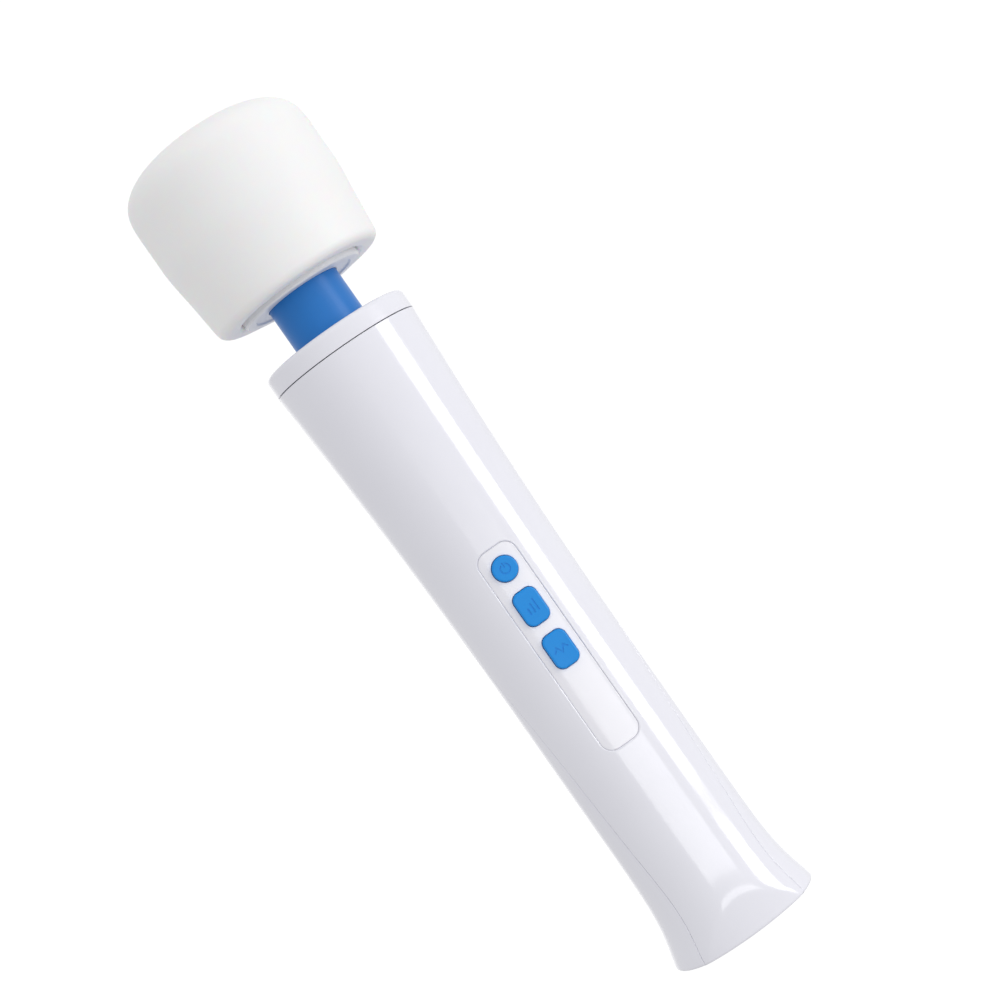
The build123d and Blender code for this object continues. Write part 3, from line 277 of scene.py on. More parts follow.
MATERIALS = {
    "shell_white": moulded(
        (0.87, 0.87, 0.935), (0.857, 0.855, 0.922), (0.10, 0.16), 0.0011, 0.000001,
        Coat_Weight=0.3, Coat_Roughness=0.03,
    ),
    "panel_white": moulded(
        (0.89, 0.885, 0.94), (0.88, 0.875, 0.93), (0.14, 0.2), 0.0009, 0.000001,
        Coat_Weight=0.25, Coat_Roughness=0.06,
    ),
    "head_white": moulded(
        (0.95, 0.95, 0.95), (0.93, 0.93, 0.93), (0.5, 0.62), 0.0004, 0.00001,
        Subsurface_Weight=0.35, Subsurface_Scale=0.003, Sheen_Weight=0.08,
    ),
    "neck_blue": moulded(
        (0.012, 0.195, 0.60), (0.010, 0.18, 0.56), (0.30, 0.38), 0.0004, 0.000005, Specular_IOR_Level=0.35,
    ),
    "button_blue": moulded(
        (0.005, 0.285, 0.79), (0.004, 0.265, 0.76), (0.36, 0.44), 0.0003, 0.000003, Specular_IOR_Level=0.3,
    ),
    "base_plate_grey": moulded(
        (0.80, 0.80, 0.82), (0.77, 0.77, 0.79), (0.34, 0.46), 0.0003, 0.000006, edge=(0.86, 0.86, 0.88),
    ),
    "inner_plastic": moulded(
        (0.62, 0.60, 0.54), (0.56, 0.54, 0.47), (0.40, 0.56), 0.0005, 0.00001,
        edge=(0.72, 0.70, 0.65), Subsurface_Weight=0.15, Subsurface_Scale=0.002,
    ),
    "black_plastic": moulded(
        (0.018, 0.018, 0.020), (0.026, 0.026, 0.028), (0.30, 0.50), 0.0003, 0.00001,
        edge=(0.06, 0.06, 0.06),
    ),
    "rubber_black": moulded(
        (0.020, 0.020, 0.020), (0.032, 0.031, 0.030), (0.65, 0.85), 0.0002, 0.00002,
        edge=(0.05, 0.05, 0.05), Sheen_Weight=0.1,
    ),
    "battery_wrap": moulded(
        (0.012, 0.16, 0.14), (0.010, 0.13, 0.12), (0.18, 0.30), 0.0016, 0.00004,
        edge=(0.05, 0.28, 0.25), Coat_Weight=0.5, Coat_Roughness=0.1,
    ),
    "carbon": moulded(
        (0.020, 0.020, 0.022), (0.034, 0.034, 0.036), (0.45, 0.7), 0.0002, 0.00002, edge=(0.08, 0.08, 0.08),
    ),
    "magnet": moulded(
        (0.055, 0.052, 0.050), (0.080, 0.076, 0.072), (0.5, 0.7), 0.0003, 0.00003, edge=(0.14, 0.13, 0.12),
    ),
    "switch_metal": metal((0.60, 0.59, 0.56), (0.50, 0.49, 0.46), (0.26, 0.44), 0.0003, 0.000004, DRAWN),
    "screw_steel": metal(
        (0.55, 0.56, 0.58), (0.43, 0.44, 0.46), (0.24, 0.42), 0.0002, 0.000005, TURNED,
        edge=(0.72, 0.72, 0.73),
    ),
    "nickel": metal((0.68, 0.65, 0.60), (0.58, 0.55, 0.50), (0.20, 0.36), 0.0002, 0.000004, DRAWN),
    "motor_steel": metal(
        (0.56, 0.57, 0.59), (0.47, 0.48, 0.50), (0.30, 0.48), 0.0003, 0.000006, DRAWN,
        edge=(0.68, 0.68, 0.70),
    ),
    "ground_steel": metal((0.66, 0.66, 0.67), (0.58, 0.58, 0.60), (0.12, 0.24), 0.00008, 0.000001, TURNED),
    "bronze": metal(
        (0.58, 0.36, 0.17), (0.46, 0.27, 0.12), (0.34, 0.52), 0.0003, 0.000010, edge=(0.72, 0.48, 0.26),
    ),
    "hub_brass": metal(
        (0.76, 0.58, 0.27), (0.66, 0.48, 0.20), (0.20, 0.34), 0.0001, 0.000004, TURNED,
        edge=(0.86, 0.70, 0.40),
    ),
    "spring_steel": metal((0.46, 0.46, 0.48), (0.34, 0.34, 0.36), (0.24, 0.40), 0.0002, 0.000003),
    # Each second colour is painted shade for the gaps between sheets or turns of wire, and also the dark
    # end of a random drift.
    "laminated_steel": layered(
        (0.40, 0.41, 0.43), (0.10, 0.10, 0.11), 0.0005, "Z", (0.34, 0.5), 0.00008, 1.0,
    ),
    "copper": layered((0.80, 0.34, 0.15), (0.26, 0.09, 0.04), 0.0004, "X", (0.22, 0.34), 0.00015, 1.0),
    "circuit_board": printed_board(),
}
for slot_name, finished in MATERIALS.items():
    finished.name = slot_name


# ---------------------------------------------------------------- curves and meshes
def smooth_curve(points, start, end, count):
    """A cubic spline through the points, leaving along start and arriving along end."""
    knots = np.array(points, float)
    steps = np.linalg.norm(np.diff(knots, axis=0), axis=1)
    reached = np.concatenate(([0], np.cumsum(steps)))
    size = len(knots)
    system, wanted = np.zeros((size, size)), np.zeros(knots.shape)
    system[0, 0] = system[-1, -1] = 1
    wanted[0] = np.array(start) / np.linalg.norm(start)
    wanted[-1] = np.array(end) / np.linalg.norm(end)
    for i in range(1, size - 1):
        before, after = steps[i - 1], steps[i]
        system[i, i - 1 : i + 2] = 1 / before, 2 / before + 2 / after, 1 / after
        rise_before, rise_after = knots[i] - knots[i - 1], knots[i + 1] - knots[i]
        wanted[i] = 3 * (rise_before / before**2 + rise_after / after**2)
    slopes = np.linalg.solve(system, wanted)
    along = np.linspace(0, reached[-1], count)
    span = np.clip(np.searchsorted(reached, along, side="right") - 1, 0, size - 2)
    t = ((along - reached[span]) / steps[span])[:, None]
    h = steps[span][:, None]
    return (
        knots[span] * (1 + 2 * t) * (1 - t) ** 2
        + knots[span + 1] * t**2 * (3 - 2 * t)
        + slopes[span] * h * t * (1 - t) ** 2
        - slopes[span + 1] * h * t**2 * (1 - t)
    )


def arc(centre, radius, start, end, count=8):
    """Points on an arc, from one angle to another in degrees, both included."""
    turn = np.radians(np.linspace(start, end, count))
    return np.column_stack((centre[0] + radius * np.cos(turn), centre[1] + radius * np.sin(turn)))


def run(start, end, step):
    """Evenly spaced points from start to end, both included, no further apart than the step."""
    start, end = np.array(start, float), np.array(end, float)
    count = max(1, int(np.ceil(np.linalg.norm(end - start) / step)))
    return start + (end - start) * np.linspace(0, 1, count + 1)[:, None]


def path(*stretches):
    """Stretches joined into one line of points, without the repeats where they meet."""
    points = np.vstack([np.atleast_2d(stretch) for stretch in stretches])
    keep = np.concatenate(([True], np.linalg.norm(np.diff(points, axis=0), axis=1) > 1e-6))
    return points[keep]


def rounded_outline(width, low, high, corner, step=0.5, count=12):
    """A rounded rectangle round x = 0, anticlockwise, as (x, z), with this many points in each corner."""
    right, middle_low, middle_high = width / 2 - corner, low + corner, high - corner
    outline = path(
        run((-right, low), (right, low), step),
        arc((right, middle_low), corner, -90, 0, count),
        run((right + corner, middle_low), (right + corner, middle_high), step),
        arc((right, middle_high), corner, 0, 90, count),
        run((right, high), (-right, high), step),
        arc((-right, middle_high), corner, 90, 180, count),
        run((-right - corner, middle_high), (-right - corner, middle_low), step),
        arc((-right, middle_low), corner, 180, 270, count),
    )
    return outline[:-1]


def disc_outline(centre, radius, count=48):
    """A circle, anticlockwise."""
    return arc(centre, radius, 0, 360, count + 1)[:-1]


def unit(vectors):
    """The vectors at unit length."""
    return vectors / np.linalg.norm(vectors, axis=1)[:, None]


def add_object(name, data):
    """An object with this mesh, light or camera, in the scene."""
    made = bpy.data.objects.new(name, data)
    bpy.context.scene.collection.objects.link(made)
    return made


def make_object(name, points, faces, normals=None):
    """An object from points in millimetres, shaded with these normals where they are given."""
    mesh = bpy.data.meshes.new(name)
    mesh.from_pydata((np.asarray(points) * MM).tolist(), [], [tuple(map(int, face)) for face in faces])
    mesh.validate()
    mesh.polygons.foreach_set("use_smooth", [True] * len(mesh.polygons))
    if normals is not None:
        mesh.normals_split_custom_set_from_vertices(normals.tolist())
    mesh.update()
    return add_object(name, mesh)


def lathe(name, profile, segments=160, crease=35):
    """Turns a closed outline of (radius, height), given anticlockwise, round the Z axis."""
    profile = np.asarray(profile, float)
    turns = np.linspace(0, 2 * pi, segments, endpoint=False)
    points, rings = [], []
    for radius, height in profile:
        if radius < 1e-6:
            rings.append([len(points)] * segments)
            points.append((0, 0, height))
        else:
            rings.append(list(range(len(points), len(points) + segments)))
            points.extend((radius * cos(turn), radius * sin(turn), height) for turn in turns)
    faces = []
    for lower, upper in zip(rings, rings[1:] + rings[:1]):
        for i in range(segments):
            j = (i + 1) % segments
            face = [lower[i], lower[j], upper[j], upper[i]]
            face = [v for n, v in enumerate(face) if v not in face[:n]]
            if len(face) > 2:
                faces.append(face)
    made = make_object(name, points, faces)
    made.data.set_sharp_from_angle(angle=radians(crease))
    return made


# ---------------------------------------------------------------- the handle's surfaces
AROUND = 22.0  # millimetres of the flattened handle for each radian round it


def shoulder(z):
    """Share of the shoulder's widening at this height."""
    return np.maximum(0, (z - SHOULDER_START) / (SHELL_TOP - SHOULDER_START)) ** 2


def half_width(z):
    """Half the handle's width, left to right."""
    flare = FLARE_WIDTH * np.exp(-((np.maximum(z, 0) / FLARE_WIDTH_HEIGHT) ** 1.4))
    return WAIST_HALF_WIDTH + flare + SHOULDER_WIDTH * shoulder(z)


def half_depth(z, flare=FLARE_DEPTH):
    """Half the handle's depth, front to back."""
    foot = flare * np.exp(-((np.maximum(z, 0) / FLARE_DEPTH_HEIGHT) ** 1.5))
    return WAIST_HALF_DEPTH + foot + SHOULDER_DEPTH * shoulder(z)


def soft_maximum(first, second, width):
    """The larger of two values, rounded off where they are within the width of each other."""
    overlap = np.maximum(width - np.abs(first - second), 0)
    return np.maximum(first, second) + overlap**2 / (4 * width)


def facet_front(x, z):
    """How far forward the arched flat's leaning cylinder lets the foot reach, as y."""
    middle = FACET_RADIUS - FACET_FRONT - FACET_LEAN * z
    return middle - np.sqrt(FACET_RADIUS**2 - np.minimum(x**2, FACET_RADIUS**2))


def handle_surface(places, inset=0.0, flare=FLARE_DEPTH, with_facet=True):
    """The handle's outside at (distance round, height). Distance 0 is the middle of the front."""
    turn, z = places[:, 0] / AROUND, places[:, 1]
    x = (half_width(z) - inset) * np.sin(turn)
    y = -(half_depth(z, flare) - inset) * np.cos(turn)
    if with_facet:
        y = np.where(np.cos(turn) > 0, soft_maximum(y, facet_front(x, z), FACET_EDGE_ROUND), y)
    return np.column_stack((x, y, z))


def cavity_surface(places):
    """The handle's inside, under the outside at the same places."""
    return handle_surface(places, WALL, CAVITY_FLARE_DEPTH, with_facet=False)


def beneath(places):
    """The places inside that lie straight in front of or behind places outside, with the same x."""
    turn, z = places[:, 0] / AROUND, places[:, 1]
    share = np.clip(half_width(z) * np.sin(turn) / (half_width(z) - WALL), -1, 1)
    under = np.where(np.cos(turn) > 0, np.arcsin(share), pi - np.arcsin(share))
    return np.column_stack((under * AROUND, z))


def panel_surface(places):
    """The control panel's face, a little below the shell's."""
    return handle_surface(places, PANEL_INSET, with_facet=False)


def panel_back(places):
    """The control panel's back, straight behind its face."""
    turn, z = places[:, 0] / AROUND, places[:, 1]
    x, inset = (half_width(z) - PANEL_INSET) * np.sin(turn), PANEL_INSET + PANEL_THICKNESS
    y = -(half_depth(z) - inset) * np.sqrt(1 - (x / (half_width(z) - inset)) ** 2)
    return np.column_stack((x, y, z))


def on_handle(outline, inset=0.0, rear=False):
    """Moves an outline seen from the front, as (x, z), onto the flattened handle."""
    turn = np.arcsin(outline[:, 0] / (half_width(outline[:, 1]) - inset))
    return np.column_stack(((pi - turn if rear else turn) * AROUND, outline[:, 1]))


SEAM_LINE = smooth_curve(SEAM_POINTS, SEAM_START, SEAM_END, 400)


def seam_y(z):
    """The seam's y at this height."""
    return np.interp(z, SEAM_LINE[:, 1], SEAM_LINE[:, 0])


def seam_turn(z, shift):
    """The seam's angle from the front at these heights, shifted front to back by half the gap."""
    return np.arccos(-(seam_y(z) + shift) / half_depth(z))


# ---------------------------------------------------------------- thick skins with rounded edges
SHARP_TURN = 0.3  # sine of the angle from which two edges of a loop meet in a corner
EDGE_CLEAR = 0.35  # grid points keep this far from every edge
ROUND_STEPS = 4
WALL_SHARE = 0.9  # how much of the thickness an edge's straight wall takes
# The back lies straight under the front up to the first distance from a drilled hole, and it follows the
# surface's own places from the second.
DRILL_NEAR, DRILL_FAR = 1.0, 6.0


def inside(points, outline):
    """True for each point that the outline encloses."""
    x, y = points[:, :1], points[:, 1:]
    start, end = outline, np.roll(outline, -1, axis=0)
    crosses = (start[:, 1] > y) != (end[:, 1] > y)
    with np.errstate(divide="ignore", invalid="ignore"):
        reach = start[:, 0] + (y - start[:, 1]) * (end[:, 0] - start[:, 0]) / (end[:, 1] - start[:, 1])
    return (crosses & (x < reach)).sum(axis=1) % 2 == 1


def nearest(points, others):
    """Distance from each point to the nearest of the others."""
    gaps = [np.sqrt(((points[i : i + 500, None] - others[None]) ** 2).sum(-1)).min(1)
            for i in range(0, len(points), 500)]
    return np.concatenate(gaps)


def area_of(outline):
    """Signed area, positive when the outline runs anticlockwise."""
    x, y = outline[:, 0], outline[:, 1]
    return (x * np.roll(y, -1) - np.roll(x, -1) * y).sum() / 2


def step_inward(outline, rounding):
    """How each point of a loop moves to leave room for the rounding of the two edges it joins.
    The material is on the loop's left, and rounding[i] belongs to the edge after point i."""
    ahead = unit(np.roll(outline, -1, axis=0) - outline)
    normal = np.column_stack((-ahead[:, 1], ahead[:, 0]))
    before, round_before = np.roll(normal, 1, axis=0), np.roll(rounding, 1)
    moves = np.empty_like(outline)
    for i in range(len(outline)):
        turn = before[i, 0] * normal[i, 1] - before[i, 1] * normal[i, 0]
        if abs(turn) > SHARP_TURN:
            both = np.array((before[i], normal[i]))
            moves[i] = np.linalg.solve(both, (round_before[i], rounding[i]))
        else:
            middle = before[i] + normal[i]
            moves[i] = middle / np.linalg.norm(middle) * (round_before[i] + rounding[i]) / 2
    return moves


def surface_normals(surface, places):
    """Unit normals, outward, from small steps along the surface."""
    step = 0.02
    along = surface(places + (step, 0)) - surface(places - (step, 0))
    up = surface(places + (0, step)) - surface(places - (0, step))
    return unit(np.cross(along, up))


def tile(outlines, grid):
    """Triangles inside the first outline and outside the others, which are holes: (places, triangles,
    rings), where each ring says which places an outline runs through. The grid adds places inside."""

    def within(points):
        """True for points inside the outline and outside every hole."""
        kept = inside(points, outlines[0])
        for hole in outlines[1:]:
            kept &= ~inside(points, hole)
        return kept

    free = grid[within(grid)]
    free = free[nearest(free, np.vstack(outlines)) > EDGE_CLEAR]
    places, rings, constraints = np.vstack([free, *outlines]), [], []
    count = len(free)
    for outline in outlines:
        ring = np.arange(count, count + len(outline))
        rings.append(ring)
        constraints += list(zip(ring.tolist(), np.roll(ring, -1).tolist()))
        count += len(outline)
    found, _, triangles, origins, _, _ = delaunay_2d_cdt(
        [Vector(spot) for spot in places], constraints, [], 1, 1e-5
    )
    renamed = np.zeros(len(places), int)
    for made, given in enumerate(origins):
        renamed[list(given)] = made
    places = np.array([tuple(spot) for spot in found])
    triangles = np.array(triangles)
    return places, triangles[within(places[triangles].mean(axis=1))], [renamed[ring] for ring in rings]


def thick_skin(front, back, loops, grid, beneath=None):
    """A closed sheet between two surfaces, as (points, faces, normals). The first loop is its outline and
    the others are holes, each (outline, rounding, drill) on the flattened surface. Every edge is rounded
    off on the front, and its wall follows the drill direction, or the surface's normal if that is None.
    Near drilled holes, beneath() says where the back lies straight under the front."""
    edges, outlines, roundings, drills = [], [], [], []
    for number, (edge, rounding, drill) in enumerate(loops):
        rounding = np.broadcast_to(rounding, len(edge)).astype(float)
        if (area_of(edge) > 0) != (number == 0):
            edge, rounding = edge[::-1], np.roll(rounding[::-1], -1)
        edges.append(edge)
        outlines.append(edge + step_inward(edge, rounding))
        roundings.append((rounding + np.roll(rounding, 1))[:, None] / 2)
        drills.append(drill)
    places, triangles, rings = tile(outlines, grid)

    under = places
    drilled = [outline for outline, drill in zip(outlines, drills) if drill is not None]
    if beneath is not None and drilled:
        away = nearest(places, np.vstack(drilled))
        share = np.clip((DRILL_FAR - away) / (DRILL_FAR - DRILL_NEAR), 0, 1)[:, None]
        under = places + share**2 * (3 - 2 * share) * (beneath(places) - places)
    sheet, total = len(places), 2 * len(places)
    points = [front(places), back(under)]
    normals = [surface_normals(front, places), -surface_normals(back, under)]
    faces = [*triangles.tolist(), *(triangles[:, ::-1] + sheet).tolist()]
    for ring, edge, rounding, drill in zip(rings, edges, roundings, drills):
        corner, start = front(edge), points[0][ring]
        inward = -surface_normals(front, edge) if drill is None else np.array(drill, float)
        upward, outward = -inward * rounding, corner - start
        onward = np.roll(corner, -1, axis=0) - np.roll(corner, 1, axis=0)
        rows = [ring]
        for k in range(1, ROUND_STEPS + 1):
            turn = k / ROUND_STEPS * pi / 2
            points.append(start - upward + cos(turn) * upward + sin(turn) * outward)
            leaning = np.cross(onward, cos(turn) * outward - sin(turn) * upward)
            leaning *= np.sign((leaning * (upward + outward)).sum(1))[:, None]
            normals.append(unit(leaning))
            rows.append(np.arange(total, total + len(ring)))
            total += len(ring)
        # The wall goes straight in from the rounding, and its last stretch meets the back.
        depth = np.linalg.norm(start - points[1][ring], axis=1).min() * WALL_SHARE
        points.append(corner + inward * depth)
        normals.append(normals[-1])
        rows.append(np.arange(total, total + len(ring)))
        total += len(ring)
        rows.append(ring + sheet)
        for upper, lower in zip(rows, rows[1:]):
            faces += np.column_stack((np.roll(upper, -1), upper, lower, np.roll(lower, -1))).tolist()
    return np.vstack(points), faces, np.vstack(normals)


def merge(*solids):
    """Several closed solids, each (points, faces, normals), as one."""
    points, faces, normals, total = [], [], [], 0
    for solid_points, solid_faces, solid_normals in solids:
        points.append(solid_points)
        normals.append(solid_normals)
        faces += [[corner + total for corner in face] for face in solid_faces]
        total += len(solid_points)
    return np.vstack(points), faces, np.vstack(normals)


def slab(outline, low, high, holes=()):
    """A flat plate between two heights, with holes right through."""
    loops = [outline if area_of(outline) > 0 else outline[::-1]]
    loops += [hole if area_of(hole) < 0 else hole[::-1] for hole in holes]
    flat, constraints, total = np.vstack(loops), [], 0
    for loop in loops:
        ring = np.arange(total, total + len(loop))
        constraints += list(zip(ring.tolist(), np.roll(ring, -1).tolist()))
        total += len(loop)
    _, _, triangles, origins, _, _ = delaunay_2d_cdt(
        [Vector(point) for point in flat], constraints, [], 0, 1e-6
    )
    given = np.array([sources[0] for sources in origins])
    triangles = given[np.array(triangles)]
    centres = flat[triangles].mean(axis=1)
    keep = inside(centres, loops[0])
    for hole in loops[1:]:
        keep &= ~inside(centres, hole)
    triangles = triangles[keep]
    edges = np.array(constraints)
    faces = [*(triangles + total).tolist(), *triangles[:, ::-1].tolist()]
    faces += np.column_stack((edges[:, 0], edges[:, 1], edges[:, 1] + total, edges[:, 0] + total)).tolist()
    points = np.vstack([np.column_stack((flat, np.full(total, height))) for height in (low, high)])
    normals = np.vstack([np.tile((0, 0, side), (total, 1)) for side in (-1.0, 1.0)])
    return points, faces, normals


def post(x, z, rings, segments=40):
    """A turned solid whose axis runs front to back at (x, z). Each ring is (radius, y), where y may be a
    function of the ring's own (x, z), so that an end can follow a curved wall. The last ring joins the
    first, and the faces are turned to point outward whichever way the rings run."""
    turns = np.linspace(0, 2 * pi, segments, endpoint=False)
    points, normals = [], []
    for radius, y in rings:
        across, up = x + radius * np.cos(turns), z + radius * np.sin(turns)
        depth = y(across, up) if callable(y) else np.full(segments, float(y))
        points.append(np.column_stack((across, depth, up)))
    for number, (radius, _) in enumerate(rings):
        before, after = rings[number - 1][0], rings[(number + 1) % len(rings)][0]
        outward = 1.0 if radius >= max(before, after) else -1.0
        normals.append(outward * np.column_stack((np.cos(turns), np.zeros(segments), np.sin(turns))))
    faces = []
    for number in range(len(rings)):
        lower = number * segments
        upper = (number + 1) % len(rings) * segments
        for i in range(segments):
            j = (i + 1) % segments
            faces.append([lower + i, lower + j, upper + j, upper + i])
    points = np.vstack(points)
    corners = points[np.array(faces)]
    facing = np.cross(corners[:, 2] - corners[:, 0], corners[:, 3] - corners[:, 1])
    if (corners.mean(axis=1) * facing).sum() < 0:
        faces = [face[::-1] for face in faces]
    return points, faces, np.vstack(normals)


def rows_of_places(left, right, heights, apart):
    """Places across the flattened handle at these heights, each other row shifted by half a step."""
    rows = []
    for number, height in enumerate(heights):
        across = np.arange(left + (number % 2) * apart / 2, right, apart)
        rows.append(np.column_stack((across, np.full(len(across), height))))
    return np.vstack(rows)


# ---------------------------------------------------------------- the handle's shells and panel
# Rows of grid points across the shells, closer together over the flared foot.
STEP_AROUND = 1.3
HEIGHTS = np.concatenate((np.arange(0.9, 24, 0.9), np.arange(24, SHELL_TOP, 2.0)))


def heights_of(name):
    """The lowest and highest heights of a CAD node."""
    return [corner.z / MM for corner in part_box(name)]


def joint_height(name):
    """The height of a joint."""
    joints = {joint["name"]: joint for joint in frame["record"]["behaviour"]["joints"]}
    return joints[name]["pos_m"][2] / MM


def button_holes(clearance):
    """The three buttons' outlines, grown by the clearance, as (x, z)."""
    radius = POWER_RADIUS + clearance
    holes = [disc_outline((0, sum(heights_of("power_button")) / 2), radius)]
    for name in ("pattern_button", "speed_button"):
        middle, half = sum(heights_of(name)) / 2, KEY_HEIGHT / 2 + clearance
        corner = KEY_CORNER + clearance
        holes.append(rounded_outline(KEY_WIDTH + 2 * clearance, middle - half, middle + half, corner))
    return holes


def panel_outline(clearance):
    """The panel's outline, grown by the clearance."""
    low, high = heights_of("control_panel")
    width = PANEL_WIDTH + 2 * clearance
    return rounded_outline(width, low - clearance, high + clearance, PANEL_CORNER + clearance)


def shell_outline(rear):
    """A shell's outline on the flattened handle, and the rounding of each of its edges."""
    shift = SEAM_GAP / 2 if rear else -SEAM_GAP / 2
    up = run((0, 0), (0, SHELL_TOP), 1.0)[:, 1]
    first = seam_turn(up, shift) * AROUND
    if rear:
        left, right = first, 2 * pi * AROUND - first
    else:
        left, right = -first, first
    bottom = run((left[0], 0), (right[0], 0), 0.6)[:-1]
    climb = np.column_stack((right, up))[:-1]
    top = run((right[-1], SHELL_TOP), (left[-1], SHELL_TOP), 0.9)[:-1]
    descent = np.column_stack((left, up))[::-1][:-1]
    rounding = [FOOT_ROUNDING] * len(bottom)
    rounding += [EDGE_ROUNDING] * (len(climb) + len(top) + len(descent))
    return np.vstack((bottom, climb, top, descent)), np.array(rounding)


def arch_places():
    """The arched flat's ridge on the flattened handle, and rows of places along it, close enough together
    to round it smoothly."""
    half_span, step, highest = 18.0, 0.35, 15.0
    x = np.arange(-half_span, half_span + 0.01, step)
    z = np.linspace(0, highest, 600)[:, None]
    oval = -half_depth(z) * np.sqrt(1 - (x / half_width(z)) ** 2)
    ridge = z[np.argmin(np.abs(oval - facet_front(x, z)), axis=0), 0]
    line = np.column_stack((np.arcsin(x / half_width(ridge)) * AROUND, ridge))
    along = np.gradient(line, axis=0)
    across = unit(np.column_stack((-along[:, 1], along[:, 0])))
    offsets = (-1.1, -0.7, -0.4, -0.2, 0, 0.2, 0.4, 0.7, 1.1)
    return line, np.vstack([line + across * offset for offset in offsets])


def shell_grid(left, right):
    """Grid points for a shell, between two angles that lie a little past its seams."""
    return rows_of_places(left * AROUND, right * AROUND, HEIGHTS, STEP_AROUND)


def mid_wall(side):
    """A function of (x, z) for the middle of the wall, in front (-1) or behind (1)."""

    def depth(x, z):
        wide, deep = half_width(z) - WALL / 2, half_depth(z, CAVITY_FLARE_DEPTH) - WALL / 2
        return side * deep * np.sqrt(np.maximum(1 - (x / wide) ** 2, 0.02))

    return depth


def foot_plate(rear):
    """The floor of one shell."""
    seam = seam_y(0) + (FLOOR_SEAM_GAP / 2 if rear else -FLOOR_SEAM_GAP / 2)
    wide, deep = half_width(0) - FLOOR_INSET, half_depth(0) - FLOOR_INSET
    reach = np.arccos(-seam / deep)
    if rear:
        turns = np.linspace(reach, 2 * pi - reach, 90)
        outline = np.column_stack((wide * np.sin(turns), -deep * np.cos(turns)))
        jack_low, jack_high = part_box("charge_jack")
        jack = (jack_low + jack_high) / 2 / MM
        mouth = (jack_high.x - jack_low.x) / 2 / MM + JACK_CLEARANCE
        return slab(outline, FLOOR_LIFT, FLOOR, [disc_outline((jack.x, jack.y), mouth)])
    x = np.linspace(-1, 1, 60) * wide * np.sin(reach)
    y = np.maximum(-deep * np.sqrt(1 - (x / wide) ** 2), facet_front(x, 0) + FLOOR_INSET)
    y = np.minimum(y, seam - 0.05)
    outline = np.vstack((np.column_stack((x, y)), [(x[-1], seam), (x[0], seam)]))
    return slab(outline, FLOOR_LIFT, FLOOR)


def half_ring(low, inner, rear):
    """A rib inside one shell, upward from this height, from the wall to this inner radius."""
    side = 1 if rear else -1
    short = 0.02
    turns = np.linspace(short, pi - short, 48)
    outer = half_width(low) - WALL / 2
    edge = [radius * np.column_stack((np.cos(way), side * np.sin(way)))
            for radius, way in ((outer, turns), (inner, turns[::-1]))]
    return slab(np.vstack(edge), low, low + RIB_THICKNESS)


def ribs(rear):
    """The two ribs that hold the motor bracket's rim, and the one that locks into the collar."""
    bracket_low, bracket_high = heights_of("motor_bracket")
    collar_low = heights_of("collar_ring")[0]
    return [
        half_ring(bracket_low - 0.3 - RIB_THICKNESS, BRACKET_RIB_RADIUS, rear),
        half_ring(bracket_high + 0.2, BRACKET_RIB_RADIUS, rear),
        half_ring(collar_low + 2.4, COLLAR_RIB_RADIUS, rear),
    ]


def blind_post(x, z, radius, back, hole_radius, hole_end):
    """A post on the front shell's wall, with a blind hole from the back. A hair-thin core runs on from the
    hole's end to the wall."""
    hair = 0.02
    return post(x, z, [
        (radius, back), (hole_radius, back), (hole_radius, hole_end), (hair, hole_end),
        (hair, mid_wall(-1)), (radius, mid_wall(-1)),
    ])


def make_front_shell():
    """The front shell, with the panel's window, its screw posts and the control board's posts."""
    outline, rounding = shell_outline(rear=False)
    window = on_handle(panel_outline(PANEL_CLEARANCE))
    ridge, close_rows = arch_places()
    grid = shell_grid(-1.7, 1.7)
    grid = np.vstack((grid[nearest(grid, ridge) > 1.6], close_rows))
    loops = [(outline, rounding, None), (window, WINDOW_ROUNDING, (0, 1, 0))]
    solids = [
        thick_skin(handle_surface, cavity_surface, loops, grid, beneath),
        foot_plate(rear=False),
        *ribs(rear=False),
    ]
    for x, z in SIDE_SCREWS:
        solids.append(blind_post(x, z, SIDE_POST_RADIUS, SIDE_POST_BACK, PILOT_RADIUS, SIDE_HOLE_END))
    foot_back = seam_y(FOOT_SCREW[1]) - SEAM_GAP / 2
    solids.append(blind_post(*FOOT_SCREW, FOOT_POST_RADIUS, foot_back, PILOT_RADIUS, FOOT_HOLE_END))
    low, high = heights_of("board_screws")
    for z in (low + SMALL_SCREW_INSET, high - SMALL_SCREW_INSET):
        solids.append(
            blind_post(0, z, BOARD_POST_RADIUS, BOARD_POST_BACK, SMALL_PILOT_RADIUS, BOARD_HOLE_END)
        )
    return make_object("front_shell_skin", *merge(*solids))


